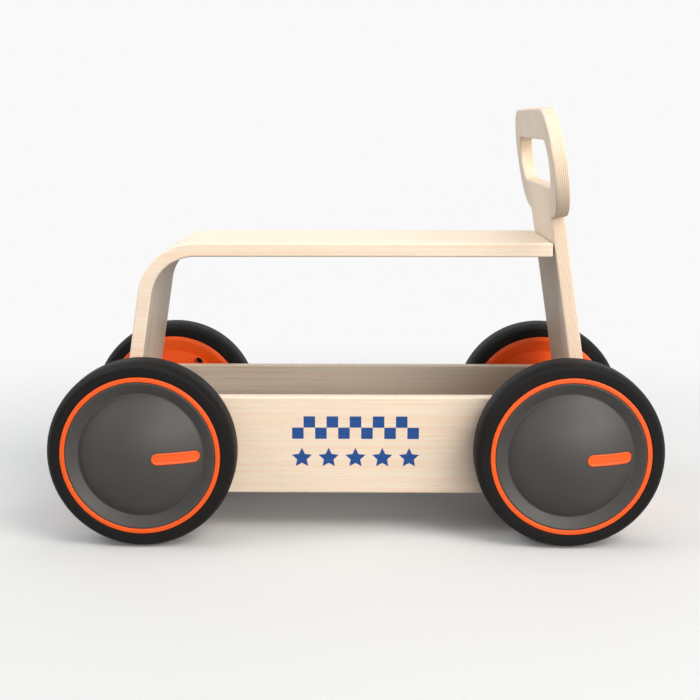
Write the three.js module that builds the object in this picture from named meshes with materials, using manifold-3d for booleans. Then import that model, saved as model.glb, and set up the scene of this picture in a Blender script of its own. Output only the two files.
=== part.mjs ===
// Wooden ride-on toy car.
// A bent plywood seat and a post with a loop handle close the two ends of an open tray, and four moulded
// wheels with rubber tyres turn freely on two steel axles. Millimetres, +Z up, +X towards the handle, and the
// origin lies on the floor under the middle of the tray.

import * as THREE from 'three';
import { mergeVertices } from 'three/addons/utils/BufferGeometryUtils.js';
import Module from 'manifold-3d';

const wasm = await Module();
wasm.setup();

// Plywood frame
const plyThickness = 12;
const edgeEase = 1.5;
const seatWidth = 127;
const seatTop = 253.8;
const bendRadius = 39; // inside of the bend between leg and seat
const leanAngle = THREE.MathUtils.degToRad(9); // the leg and the post lean in towards each other
const wheelBase = 361.2;
const axleToLeg = 15.9; // along X at axle height, to the inner face of the leg and of the post
const trayBottom = 36;
const trayHeight = 86;
const floorThickness = 6;
const floorRise = 8; // from the side boards' lower edge to the floor's underside
const grooveDepth = 5; // in the side boards, for the floor's edges

// Loop handle
const handleReach = 371; // from floor level to the top of the loop, along the leaning post
const loopOverhang = 54.5; // beyond the post on each side
const loopHeight = 92;
const gripWidth = 26; // the rail round the finger slot

// Tyre
const tyreWidth = 36;
const sidewallHeight = 8;
const crownHeight = 4.5; // the tread's rise from its edges to its middle
const treadFlat = 0.4; // the flat middle, as a share of the tread's width
const wheelClearance = 6.2; // from the side board to the tyre

// Rim
const rimRadius = 67.5;
const lipThickness = 3;
const lipWidth = 4.15; // the ring of the rim that shows round the hub cap
const tyreSeatDepth = 3.5; // how far the tyre's bead sits below the lips
const dishWidth = 10.5;
const dishDepth = 5;
const rimWall = 3.2;
const hubRadius = 13;
const ribCount = 3;
const ribThickness = 2.4;
const wellCount = 3; // screw wells, open on the wheel's inner face
const wellRadius = 4.5;
const wellWall = 2;
const wellEdge = 5.6; // from a well's centre to the edge of the dish
const wellDepth = 14;

// Hub cap and its inlay
const capWall = 2.4;
const capChamfer = 0.7;
const domeHeight = 16.7; // the cap stands proud of the tyre
const bossRadius = 3.6;
const pillWidth = 9.9;
const pillStart = 11.4; // from the wheel's centre to the pill's near end
const pillInset = 2.4; // from the pill's far end to the edge of the dome
const pillProud = 0.6;
const pillFlange = 1.5;

// Axles
const axleRadius = 5;
const bushWall = 2;
const bushFlangeWidth = 5;
const bushFlangeThickness = 3;
const washerWidth = 5;
const washerThickness = 1.5;
const axleCapWall = 3.5;
const axleCapLength = 5.7;
const axleCapEnd = 1.4;

// Screws and bolts
const screwRadius = 2;
const screwHeadRadius = 4;
const screwHeadHeight = 2.4;
const screwLength = 40;
const screwLevels = [0.3, 0.85]; // as shares of the tray's height
const capScrewRadius = 1.4;
const capScrewHeadRadius = 3.1;
const capScrewHeadHeight = 2;
const boltRadius = 2.5;
const boltHeadRadius = 7;
const boltHeadHeight = 2;
const boltSink = 2; // the head lies this far below the post's face on the bolt's centre line
const boltGrip = 34; // from the seat's end to the barrel nut
const boltSpacing = 70;
const nutRadius = 4;
const nutCover = 2.6; // wood left above the barrel nut

// Clearances and facets
const seatGap = 0.3; // between pieces that touch
const seatEndGap = 0.5;
const runGap = 0.15; // axle in a hub or bush, on the radius
const wheelSegments = 24;
const axleSegments = 12;
const wellSegments = 8;
const screwSegments = 6;
const bendSegments = 4;
const cornerSegments = 2;

// Worked out from the driving dimensions
const axleHeight = rimRadius + sidewallHeight + crownHeight;
const axleX = wheelBase / 2;
const legFoot = axleX + axleToLeg + axleHeight * Math.tan(leanAngle);
const slantThickness = plyThickness / Math.cos(leanAngle); // the ply measured along X
const trayTop = trayBottom + trayHeight;
const boardInner = seatWidth / 2 + seatGap;
const boardOuter = boardInner + plyThickness;
const wheelMiddle = boardOuter + wheelClearance + tyreWidth / 2;
const bushOuter = boardOuter + seatGap + bushFlangeThickness;
const screwHeights = screwLevels.map((level) => trayBottom + level * trayHeight);
const seatMiddle = seatTop - plyThickness / 2;
const seatEnd = innerFaceX(seatTop) - seatEndGap;
const nutX = seatEnd - boltGrip;

const finishes = {
  plywood: { color: 0xf6dfc6, roughness: 0.6, metalness: 0 },
  tyre: { color: 0x292827, roughness: 0.75, metalness: 0 },
  orange: { color: 0xff6932, roughness: 0.4, metalness: 0 },
  grey: { color: 0x55514e, roughness: 0.45, metalness: 0 },
  nylon: { color: 0xe6e4de, roughness: 0.5, metalness: 0 },
  steel: { color: 0xb4b6b8, roughness: 0.3, metalness: 1 },
};

// X of the post's inner face at height z; the leg's inner face is its mirror image
function innerFaceX(z) {
  return legFoot - z * Math.tan(leanAngle);
}

function middleFaceX(z) {
  return innerFaceX(z) + slantThickness / 2;
}

function toSolid(geometry) {
  const bare = geometry.clone();
  bare.deleteAttribute('normal');
  bare.deleteAttribute('uv');
  const merged = mergeVertices(bare, 1e-4);
  const index = merged.index.array;
  const triangles = [];
  for (let i = 0; i < index.length; i += 3) {
    const [a, b, c] = [index[i], index[i + 1], index[i + 2]];
    if (a !== b && b !== c && c !== a) {
      triangles.push(a, b, c);
    }
  }
  return new wasm.Manifold(new wasm.Mesh({
    numProp: 3,
    vertProperties: new Float32Array(merged.attributes.position.array),
    triVerts: new Uint32Array(triangles),
  }));
}

function toGeometry(solid) {
  const mesh = solid.getMesh();
  const geometry = new THREE.BufferGeometry();
  geometry.setAttribute('position', new THREE.BufferAttribute(mesh.vertProperties, 3));
  geometry.setIndex(new THREE.BufferAttribute(mesh.triVerts, 1));
  geometry.computeVertexNormals();
  return geometry;
}

function joined(geometries) {
  return geometries.map(toSolid).reduce((sum, solid) => sum.add(solid));
}

function cut(solid, tools) {
  return tools.map(toSolid).reduce((rest, tool) => rest.subtract(tool), solid);
}

// A ring or a pin turned about the Y axis from [radius, y] points, listed outer side upwards
function turned(points, segments) {
  const profile = points.map(([radius, y]) => new THREE.Vector2(radius, y));
  if (points[0][0] > 0) {
    profile.push(profile[0].clone());
  }
  // half a step of turn puts a flat of the tread on the floor
  return new THREE.LatheGeometry(profile, segments, Math.PI / segments);
}

function rod(radius, from, to, segments) {
  return turned([[0, from], [radius, from], [radius, to], [0, to]], segments);
}

function tube(inner, outer, from, to, segments) {
  return turned([[inner, from], [outer, from], [outer, to], [inner, to]], segments);
}

// A board with eased edges: an outline in the XY plane, thickened towards +Z
function board(shape, thickness, round, curveSegments) {
  return new THREE.ExtrudeGeometry(shape, {
    depth: thickness - 2 * round,
    steps: 1,
    curveSegments,
    bevelEnabled: round > 0,
    bevelThickness: round,
    bevelSize: round,
    bevelOffset: -round,
    bevelSegments: 1,
  }).translate(0, 0, round);
}

// Stands an outline drawn in X and Z upright, with its thickness centred on Y
function upright(geometry, thickness) {
  return geometry.rotateX(Math.PI / 2).translate(0, thickness / 2, 0);
}

function roundedPolygon(corners, radius) {
  const shape = new THREE.Shape();
  corners.forEach((corner, i) => {
    const before = corners.at(i - 1);
    const after = corners[(i + 1) % corners.length];
    const start = corner.clone().add(before.clone().sub(corner).setLength(radius));
    const end = corner.clone().add(after.clone().sub(corner).setLength(radius));
    if (i === 0) {
      shape.moveTo(start.x, start.y);
    } else {
      shape.lineTo(start.x, start.y);
    }
    shape.quadraticCurveTo(corner.x, corner.y, end.x, end.y);
  });
  shape.closePath();
  return shape;
}

// A bar with full round ends, lying along X
function stadium(length, height) {
  const radius = height / 2;
  const reach = length / 2 - radius;
  const shape = new THREE.Shape();
  shape.absarc(reach, 0, radius, -Math.PI / 2, Math.PI / 2, false);
  shape.absarc(-reach, 0, radius, Math.PI / 2, Math.PI * 1.5, false);
  shape.closePath();
  return shape;
}

function addMesh(parent, name, geometry, finish) {
  const mesh = new THREE.Mesh(geometry, new THREE.MeshStandardMaterial(finish));
  mesh.name = name;
  parent.add(mesh);
  return mesh;
}

// Holes through the edge of the leg or post for the side boards' screws; end is 1 at the post, -1 at the leg
function screwHoles(end) {
  const depth = screwLength - plyThickness + 2;
  const holes = [];
  for (const side of [-1, 1]) {
    for (const z of screwHeights) {
      const hole = rod(screwRadius + seatGap, boardInner - depth, boardInner + 1, screwSegments);
      hole.rotateZ(side > 0 ? 0 : Math.PI);
      holes.push(hole.translate(end * middleFaceX(z), 0, z));
    }
  }
  return holes;
}

function boltRows() {
  return [-boltSpacing / 2, boltSpacing / 2];
}

// A rod along X for the seat bolts' holes and counterbores
function rodAlongX(radius, from, to, y, z) {
  return rod(radius, from, to, screwSegments).rotateZ(-Math.PI / 2).translate(0, y, z);
}

// Bent seat: the leg, the bend and the seat in one sheet of ply
function bentSeat() {
  const bendOuter = bendRadius + plyThickness;
  const bendZ = seatTop - bendOuter;
  const bendX = bendRadius / Math.cos(leanAngle) - innerFaceX(bendZ);
  const corner = 2 * edgeEase;
  const footX = -innerFaceX(trayBottom);
  const shape = new THREE.Shape();
  shape.moveTo(footX, trayBottom);
  shape.absarc(bendX, bendZ, bendRadius, Math.PI - leanAngle, Math.PI / 2, true);
  shape.absarc(seatEnd - corner, seatTop - plyThickness + corner, corner, -Math.PI / 2, 0, false);
  shape.absarc(seatEnd - corner, seatTop - corner, corner, 0, Math.PI / 2, false);
  shape.absarc(bendX, bendZ, bendOuter, Math.PI / 2, Math.PI - leanAngle, false);
  shape.lineTo(
    footX - plyThickness * Math.cos(leanAngle),
    trayBottom + plyThickness * Math.sin(leanAngle),
  );
  shape.closePath();
  const sheet = toSolid(upright(board(shape, seatWidth, edgeEase, bendSegments), seatWidth));
  const holes = screwHoles(-1);
  for (const y of boltRows()) {
    holes.push(rodAlongX(boltRadius + seatGap, nutX - 2 * nutRadius, seatEnd + 1, y, seatMiddle));
    holes.push(
      rod(nutRadius + seatGap, seatTop - plyThickness - 1, seatTop - nutCover + seatGap, axleSegments)
        .rotateX(Math.PI / 2)
        .translate(nutX, y, 0),
    );
  }
  return toGeometry(cut(sheet, holes));
}

// Post and loop handle: one flat sheet, drawn in Y and along the post, then leaned over the seat
function handlePost() {
  const half = seatWidth / 2;
  const endRadius = loopHeight / 2;
  const loopMiddle = handleReach - endRadius;
  const loopBottom = handleReach - loopHeight;
  const footReach = trayBottom / Math.cos(leanAngle);
  const endCentre = Math.max(half + loopOverhang - endRadius, half + 2 * edgeEase);
  const slotRadius = endRadius - gripWidth;
  const shape = new THREE.Shape();
  shape.moveTo(-half, footReach);
  shape.lineTo(half, footReach);
  shape.lineTo(half, loopBottom);
  shape.absarc(endCentre, loopMiddle, endRadius, -Math.PI / 2, Math.PI / 2, false);
  shape.absarc(-endCentre, loopMiddle, endRadius, Math.PI / 2, Math.PI * 1.5, false);
  shape.lineTo(-half, loopBottom);
  shape.closePath();
  const slot = new THREE.Path();
  slot.absarc(endCentre, loopMiddle, slotRadius, -Math.PI / 2, Math.PI / 2, false);
  slot.absarc(-endCentre, loopMiddle, slotRadius, Math.PI / 2, Math.PI * 1.5, false);
  slot.closePath();
  shape.holes.push(slot);
  const sheet = board(shape, plyThickness, edgeEase, bendSegments)
    .rotateX(Math.PI / 2)
    .rotateZ(Math.PI / 2)
    .rotateY(-leanAngle)
    .translate(legFoot, 0, 0);
  const holes = screwHoles(1);
  for (const y of boltRows()) {
    const face = innerFaceX(seatMiddle);
    holes.push(rodAlongX(boltRadius + seatGap, face - plyThickness, face + 2 * plyThickness, y, seatMiddle));
    holes.push(rodAlongX(
      boltHeadRadius + seatGap,
      face + slantThickness - boltSink - boltHeadHeight - seatGap,
      face + 2 * plyThickness,
      y,
      seatMiddle,
    ));
  }
  return toGeometry(cut(toSolid(sheet), holes));
}

// Side board with its outer face towards +Y: a groove for the floor, bush holes and countersunk screw holes
function sideBoard() {
  const corners = [
    [-1, trayBottom],
    [1, trayBottom],
    [1, trayTop],
    [-1, trayTop],
  ].map(([end, z]) => new THREE.Vector2(end * (innerFaceX(z) + slantThickness), z));
  const outline = roundedPolygon(corners, 2 * edgeEase);
  const blank = upright(board(outline, plyThickness, edgeEase, cornerSegments), plyThickness);
  blank.translate(0, boardInner + plyThickness / 2, 0);
  // the groove stops at the leg and the post, so it doesn't show at the board's ends
  const grooveHeight = floorThickness + 2 * seatGap;
  const grooveBottom = trayBottom + floorRise - seatGap;
  const groove = new THREE.BoxGeometry(2 * innerFaceX(grooveBottom), 2 * grooveDepth, grooveHeight);
  groove.translate(0, boardInner, grooveBottom + grooveHeight / 2);
  const tools = [groove];
  for (const end of [-1, 1]) {
    const bushHole = rod(axleRadius + bushWall + seatGap, boardInner - 1, boardOuter + 1, axleSegments);
    tools.push(bushHole.translate(end * axleX, 0, axleHeight));
    for (const z of screwHeights) {
      const screwHole = screwShape(screwRadius + seatGap, screwHeadRadius + seatGap, plyThickness + 1, 1);
      tools.push(screwHole.translate(end * middleFaceX(z), boardOuter, z));
    }
  }
  return toGeometry(cut(toSolid(blank), tools));
}

// A countersunk screw with its head's face at y = 0, or the hole for one, whose head runs on above that face
function screwShape(shank, head, length, raised = 0) {
  const points = [[0, -length], [shank, -length], [shank, -screwHeadHeight], [head, 0]];
  if (raised > 0) {
    points.push([head, raised]);
  }
  points.push([0, raised]);
  return turned(points, screwSegments);
}

function floorPanel() {
  const width = 2 * (boardInner + grooveDepth - seatGap);
  const underside = trayBottom + floorRise;
  const shape = new THREE.Shape();
  [[-1, 0], [1, 0], [1, 1], [-1, 1]].forEach(([end, level], i) => {
    const z = underside + level * floorThickness;
    const x = end * (innerFaceX(z) - seatGap);
    if (i === 0) {
      shape.moveTo(x, z);
    } else {
      shape.lineTo(x, z);
    }
  });
  shape.closePath();
  return upright(board(shape, width, 0, cornerSegments), width);
}

// Seat bolt along X: a flat head sunk in the post, and the shank through the barrel nut in the seat
function seatBolt() {
  const headTop = innerFaceX(seatMiddle) + slantThickness - boltSink;
  const tip = nutX - 1.5 * nutRadius;
  return turned([
    [0, tip],
    [boltRadius, tip],
    [boltRadius, headTop - boltHeadHeight],
    [boltHeadRadius, headTop - boltHeadHeight],
    [boltHeadRadius, headTop - boltHeadHeight / 2],
    [0.8 * boltHeadRadius, headTop],
    [0, headTop],
  ], screwSegments).rotateZ(-Math.PI / 2);
}

function barrelNut() {
  const length = plyThickness - nutCover;
  const barrel = rod(nutRadius, 0, length, axleSegments).rotateX(Math.PI / 2);
  const crossHole = rod(boltRadius + seatGap, -2 * nutRadius, 2 * nutRadius, screwSegments)
    .rotateZ(-Math.PI / 2)
    .translate(0, 0, plyThickness / 2);
  return toGeometry(cut(toSolid(barrel), [crossHole]));
}

// Wheel pieces are drawn with the wheel's middle plane at y = 0 and its outer face towards +Y
const wheelHalf = tyreWidth / 2;
const hubInner = bushOuter + seatGap - wheelMiddle;
const hubOuter = 0;
const beadRadius = rimRadius - tyreSeatDepth;
const capRadius = rimRadius - lipWidth;
const domeRadius = capRadius - dishWidth;
const webInner = dishDepth - wheelHalf;
const webOuter = webInner + rimWall;
const capSeat = wheelHalf - dishDepth - seatGap;
const domeEdge = wheelHalf - dishDepth;
const wellPitch = domeRadius - wellEdge;
const wellEnd = webInner + wellDepth;
const boreRadius = (axleRadius + runGap) / Math.cos(Math.PI / wheelSegments);

// Moves a copy of a piece from the wheel's axis out to each screw well
function atWells(make) {
  return Array.from({ length: wellCount }, (_, i) => make()
    .translate(wellPitch, 0, 0)
    .rotateY((i / wellCount) * 2 * Math.PI));
}

function tyre() {
  // the flats of the faceted tread touch the true radius
  const facet = 1 / Math.cos(Math.PI / wheelSegments);
  const edge = rimRadius + sidewallHeight;
  const crown = [-1, -0.8, -treadFlat, treadFlat, 0.8, 1].map((share) => [
    facet * (edge + crownHeight * (1 - ((Math.abs(share) - treadFlat) / (1 - treadFlat)) ** 2)),
    share * wheelHalf,
  ]);
  const lipSide = wheelHalf - lipThickness - seatGap;
  return turned([
    [rimRadius + seatGap, -wheelHalf],
    ...crown,
    [rimRadius + seatGap, wheelHalf],
    [rimRadius + seatGap, lipSide],
    [beadRadius + seatGap, lipSide],
    [beadRadius + seatGap, -lipSide],
    [rimRadius + seatGap, -lipSide],
  ], wheelSegments);
}

// Moulded rim: lips that hold the tyre, a dished web on a hub, ribs, and wells for the hub cap's screws
function rim() {
  const lipSide = wheelHalf - lipThickness;
  const drumRadius = beadRadius - rimWall;
  const drumFoot = webOuter - (dishDepth * (drumRadius - domeRadius)) / dishWidth;
  const body = turned([
    [boreRadius, hubInner],
    [hubRadius, hubInner],
    [hubRadius, webInner],
    [domeRadius, webInner],
    [capRadius, -wheelHalf],
    [rimRadius, -wheelHalf],
    [rimRadius, -lipSide],
    [beadRadius, -lipSide],
    [beadRadius, lipSide],
    [rimRadius, lipSide],
    [rimRadius, wheelHalf],
    [capRadius, wheelHalf],
    [capRadius, capSeat],
    [drumRadius, capSeat],
    [drumRadius, drumFoot],
    [domeRadius, webOuter],
    [hubRadius, webOuter],
    [hubRadius, hubOuter],
    [boreRadius, hubOuter],
  ], wheelSegments);
  const ribLength = (beadRadius + drumRadius) / 2 - (hubRadius + boreRadius) / 2;
  const ribs = Array.from({ length: ribCount }, (_, i) => new THREE.BoxGeometry(
    ribLength,
    hubOuter - webInner - rimWall / 2,
    ribThickness,
  ).translate(
    (hubRadius + boreRadius) / 2 + ribLength / 2,
    (hubOuter + webInner + rimWall / 2) / 2,
    0,
  ).rotateY(((i + 0.5) / ribCount) * 2 * Math.PI));
  const tubeFoot = webInner + rimWall / 2;
  const tubes = atWells(() => rod(wellRadius + wellWall, tubeFoot, wellEnd + rimWall, wellSegments));
  const wells = atWells(() => rod(wellRadius, webInner - 1, wellEnd, wellSegments));
  const screwPaths = atWells(() => rod(capScrewRadius + seatGap, wellEnd - 1, wheelHalf, screwSegments));
  return toGeometry(cut(joined([body, ...ribs, ...tubes]), [...wells, ...screwPaths]));
}

// Height of the hub cap's dome at a radius
function domeY(radius) {
  return domeEdge + domeHeight * (1 - (radius / domeRadius) ** 2);
}

function domeArc(offset, shares) {
  return shares.map((share) => [share * domeRadius, domeY(share * domeRadius) + offset]);
}

const domeShares = [1, 0.8, 0.6, 0.4, 0.2, 0];
const pillEnd = domeRadius - pillInset;
const pillLength = pillEnd - pillStart;
const capScrewTip = domeY(wellPitch) - capWall - 1;

// A pill standing along Y at its place on the cap; seen from outside, right is -X
function pillPrism(grow, from, to) {
  return new THREE.ExtrudeGeometry(stadium(pillLength + 2 * grow, pillWidth + 2 * grow), {
    depth: to - from,
    steps: 1,
    curveSegments: cornerSegments,
    bevelEnabled: false,
  })
    .rotateX(Math.PI / 2)
    .translate(0, to, 0)
    .translate(-(pillStart + pillEnd) / 2, 0, 0);
}

// Hub cap: a skirt in the mouth of the rim, a conical dish, a dome with the window, and screw bosses inside
function hubCap() {
  const skirt = capRadius - seatGap;
  const body = turned([
    [skirt - capWall, capSeat + seatGap],
    [skirt, capSeat + seatGap],
    [skirt, wheelHalf - capChamfer],
    [skirt - capChamfer, wheelHalf],
    ...domeArc(0, domeShares),
    ...domeArc(-capWall, domeShares.toReversed()),
  ], wheelSegments);
  const bossTop = domeY(wellPitch) - capWall / 2;
  const bosses = atWells(() => rod(bossRadius, wellEnd + rimWall + seatGap, bossTop, wellSegments));
  const pilots = atWells(() => rod(capScrewRadius + seatGap, wellEnd, capScrewTip + seatGap, screwSegments));
  const window = pillPrism(seatGap, -wheelHalf, 2 * wheelHalf);
  return toGeometry(cut(joined([body, ...bosses]), [...pilots, window]));
}

// Everything under the dome, shifted by an offset, down to a flat base
function underDome(offset) {
  const base = [[0, -wheelHalf], [domeRadius, -wheelHalf]];
  return toSolid(turned([...base, ...domeArc(offset, domeShares)], wheelSegments));
}

// Plain pill that fills the cap's window a little proud, with a flange behind the dome
function capInlay() {
  const back = -capWall - seatGap;
  const hollow = underDome(back - pillFlange);
  const face = toSolid(pillPrism(0, 0, 2 * wheelHalf)).intersect(underDome(pillProud));
  const flange = toSolid(pillPrism(pillFlange, 0, 2 * wheelHalf)).intersect(underDome(back));
  return toGeometry(face.add(flange).subtract(hollow));
}

function capScrew() {
  const seat = wellEnd - seatGap;
  return turned([
    [0, seat - capScrewHeadHeight],
    [capScrewHeadRadius, seat - capScrewHeadHeight],
    [capScrewHeadRadius, seat],
    [capScrewRadius, seat],
    [capScrewRadius, capScrewTip],
    [0, capScrewTip],
  ], screwSegments);
}

// Axle pieces, placed along the axle from the side board outwards
const washerInner = wheelMiddle + hubOuter + seatGap;
const axleCapInner = washerInner + washerThickness + seatGap;
const axleCapOuter = axleCapInner + axleCapLength;
const axleEnd = axleCapOuter - axleCapEnd - seatGap;
const boreFit = axleRadius + runGap;

function axleBush() {
  const sleeve = axleRadius + bushWall;
  const flange = sleeve + bushFlangeWidth;
  return turned([
    [boreFit, boardInner],
    [sleeve, boardInner],
    [sleeve, boardOuter + seatGap],
    [flange, boardOuter + seatGap],
    [flange, bushOuter],
    [boreFit, bushOuter],
  ], axleSegments);
}

function axleWasher() {
  return tube(boreFit, boreFit + washerWidth, washerInner, washerInner + washerThickness, axleSegments);
}

// Push-on cap that keeps the wheel on: a blind bore over the axle's end
function axleCap() {
  const outer = axleRadius + axleCapWall;
  return turned([
    [boreFit, axleCapInner],
    [outer, axleCapInner],
    [outer, axleCapOuter - axleCapEnd],
    [axleRadius, axleCapOuter],
    [0, axleCapOuter],
    [0, axleCapOuter - axleCapEnd],
    [boreFit, axleCapOuter - axleCapEnd],
  ], axleSegments);
}

function addWheel(parent, place, x, turn) {
  const wheel = new THREE.Group();
  wheel.position.set(x, wheelMiddle, axleHeight);
  wheel.rotation.y = turn;
  parent.add(wheel);
  addMesh(wheel, `tyre_${place}`, tyre(), finishes.tyre);
  addMesh(wheel, `rim_${place}`, rim(), finishes.orange);
  addMesh(wheel, `hub_cap_${place}`, hubCap(), finishes.grey);
  addMesh(wheel, `cap_inlay_${place}`, capInlay(), finishes.orange);
  atWells(capScrew).forEach((screw, i) => {
    addMesh(wheel, `cap_screw_${place}_${i + 1}`, screw, finishes.steel);
  });
}

// One end of one side: the screws into the leg or post, the axle's bearing pieces and the wheel
function addCorner(parent, place, end, turn) {
  screwHeights.forEach((z, i) => {
    const screw = screwShape(screwRadius, screwHeadRadius, screwLength);
    addMesh(parent, `board_screw_${place}_${i + 1}`, screw, finishes.steel)
      .position.set(end * middleFaceX(z), boardOuter, z);
  });
  const bearing = new THREE.Group();
  bearing.position.set(end * axleX, 0, axleHeight);
  parent.add(bearing);
  addMesh(bearing, `axle_bush_${place}`, axleBush(), finishes.nylon);
  addMesh(bearing, `axle_washer_${place}`, axleWasher(), finishes.steel);
  addMesh(bearing, `axle_cap_${place}`, axleCap(), finishes.steel);
  addWheel(parent, place, end * axleX, turn);
}

const car = new THREE.Group();

addMesh(car, 'bent_seat', bentSeat(), finishes.plywood);
addMesh(car, 'handle_post', handlePost(), finishes.plywood);
addMesh(car, 'floor_panel', floorPanel(), finishes.plywood);

boltRows().forEach((y, i) => {
  const side = i === 0 ? 'right' : 'left';
  addMesh(car, `seat_bolt_${side}`, seatBolt(), finishes.steel).position.set(0, y, seatMiddle);
  addMesh(car, `barrel_nut_${side}`, barrelNut(), finishes.steel)
    .position.set(nutX, y, seatTop - plyThickness);
});

for (const end of [1, -1]) {
  const axle = rod(axleRadius, -axleEnd, axleEnd, axleSegments);
  addMesh(car, end > 0 ? 'axle_front' : 'axle_rear', axle, finishes.steel)
    .position.set(end * axleX, 0, axleHeight);
}

for (const side of ['left', 'right']) {
  // both sides are made with their outer faces towards +Y, and the right one is then turned round
  const half = new THREE.Group();
  const forward = side === 'left' ? 1 : -1;
  half.rotation.z = side === 'left' ? 0 : Math.PI;
  car.add(half);
  addMesh(half, `side_board_${side}`, sideBoard(), finishes.plywood);
  // the wheels stand with every inlay towards the handle
  const turn = side === 'left' ? Math.PI : 0;
  addCorner(half, `front_${side}`, forward, turn);
  addCorner(half, `rear_${side}`, -forward, turn);
}

export default car;
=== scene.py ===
"""Looks of a ride-on toy car in bent plywood with moulded wheels, built on the packed model.

Lengths are in metres, +X points from the leg to the handle, and +Z is up.
"""

import math

import bmesh
import bpy
from mathutils import Matrix, Vector


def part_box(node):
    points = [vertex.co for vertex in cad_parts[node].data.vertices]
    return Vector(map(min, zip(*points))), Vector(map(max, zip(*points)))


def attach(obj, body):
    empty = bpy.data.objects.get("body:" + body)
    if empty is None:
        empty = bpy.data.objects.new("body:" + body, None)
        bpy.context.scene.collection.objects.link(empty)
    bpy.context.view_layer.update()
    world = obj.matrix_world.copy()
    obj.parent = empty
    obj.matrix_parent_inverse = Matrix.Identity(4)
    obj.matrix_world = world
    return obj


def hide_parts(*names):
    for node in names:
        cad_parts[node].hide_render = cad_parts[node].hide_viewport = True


bl_info = {
    "name": "Ride-on toy car",
    "version": (1, 0, 0),
    "blender": (4, 5, 0),
    "location": "3D View > Sidebar > Toy Car",
    "description": "Builds the plywood, wheels, fittings, print and studio of a ride-on toy car",
    "category": "Object",
}

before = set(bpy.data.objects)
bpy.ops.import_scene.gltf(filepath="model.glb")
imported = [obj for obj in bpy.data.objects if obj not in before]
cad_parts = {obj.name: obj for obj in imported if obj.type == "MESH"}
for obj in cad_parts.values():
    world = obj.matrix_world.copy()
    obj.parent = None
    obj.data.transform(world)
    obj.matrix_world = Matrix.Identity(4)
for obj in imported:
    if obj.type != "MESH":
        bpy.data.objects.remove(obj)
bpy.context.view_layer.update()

# Places that come from the packed model
TYRE_LOW, TYRE_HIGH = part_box("tyre_front_left")
BOARD_LOW, BOARD_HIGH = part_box("side_board_left")
SEAT_LOW, SEAT_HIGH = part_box("bent_seat")
FLOOR_LOW, FLOOR_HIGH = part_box("floor_panel")
AXLE_X = (TYRE_LOW[0] + TYRE_HIGH[0]) / 2
AXLE_HEIGHT = (TYRE_LOW[2] + TYRE_HIGH[2]) / 2
WHEEL_Y = (TYRE_LOW[1] + TYRE_HIGH[1]) / 2
ENDS = {"front": 1, "rear": -1}
SIDES = {"left": 1, "right": -1}
PLACES = [f"{end}_{side}" for end in ENDS for side in SIDES]
SCREW_LEVELS = (0.3, 0.85)  # board screws, as shares of the boards' height
FACING = 0.6  # a face looks along an axis when its normal goes this far along it
PLY_ATTRIBUTE = "ply"
# share of painted shade that each face corner takes
SHADE_ATTRIBUTE = "back"
IMAGE_SIZE = 700  # pixels of the square photograph

# Soft panels of the studio: place, height that they look at, width and height
PANELS = {
    "key": ((1.5, -1.7, 2.4), 0.15, 1.8, 1.3),
    "top": ((0.2, 0.0, 2.1), 0.15, 1.8, 1.4),
    "front": ((1.1, -3.0, 0.85), 0.12, 3.0, 0.8),
    "right": ((2.6, -2.0, 1.3), 0.13, 2.1, 1.4),
    "left": ((-1.45, -0.3, 1.6), 0.2, 1.2, 1.0),
    "fill": ((-1.45, -0.3, 1.6), 0.2, 1.2, 1.0),
    "back": ((-0.5, 3.0, 0.9), 0.1, 3.3, 1.0),
}
WARM_PANELS = ("key", "front", "right")


def length(name, description, value):
    """A size in metres."""
    return bpy.props.FloatProperty(
        name=name, description=description, default=value, precision=4, subtype="DISTANCE", unit="LENGTH"
    )


def angle(name, description, degrees):
    return bpy.props.FloatProperty(
        name=name, description=description, default=math.radians(degrees), subtype="ANGLE", unit="ROTATION"
    )


def count(name, description, value):
    return bpy.props.IntProperty(name=name, description=description, default=value, min=1)


def share(name, description, value, highest=1.0):
    return bpy.props.FloatProperty(
        name=name, description=description, default=value, min=0.0, max=highest, subtype="FACTOR"
    )


def watts(name, description, value):
    return bpy.props.FloatProperty(name=name, description=description, default=value, min=0.0, unit="POWER")


def linear(level):
    level = level / 255
    return level / 12.92 if level <= 0.04045 else ((level + 0.055) / 1.055) ** 2.4


def tint(name, description, red, green, blue):
    """A colour given as it shows on a screen, 0 to 255."""
    return bpy.props.FloatVectorProperty(
        name=name,
        description=description,
        default=(linear(red), linear(green), linear(blue)),
        size=3,
        min=0.0,
        max=1.0,
        subtype="COLOR",
    )


class SheetSizes(bpy.types.PropertyGroup):
    """Plywood sheets."""

    thickness: length("Sheet", "Thickness of the boards", BOARD_HIGH[1] - BOARD_LOW[1])
    edge: length("Edge", "Radius of the sanded edges", 0.0016)
    veneer: length("Veneer", "Thickness of one layer of the ply", 0.0015)
    seat_width: length("Seat width", "Across the seat and the post", SEAT_HIGH[1] - SEAT_LOW[1])
    seat_top: length("Seat height", "Floor to the top of the seat", SEAT_HIGH[2])
    bend: length("Bend", "Inner radius of the bent seat", 0.039)
    lean: angle("Lean", "Lean of the leg and the post", 9)
    foot: length("Foot", "Post's inner face, carried down to the floor, from the middle", 0.20917)
    handle_reach: length("Handle", "Floor to the top of the handle along the post", 0.371)
    loop_overhang: length("Overhang", "Handle's reach beyond the post at each side", 0.0545)
    loop_height: length("Loop", "Height of the handle's loop", 0.092)
    grip: length("Grip", "Width of the handle round its slot", 0.026)
    inner_corner: length("Inner corner", "Radius where the post meets the loop", 0.0025)
    corner: length("Corner", "Radius of the corners of the side boards and the post's foot", 0.003)
    panel_corner: length("Panel corner", "Radius of the floor panel's corners", 0.001)
    panel_edge: length("Panel edge", "Radius of the floor panel's edges", 0.0004)


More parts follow.
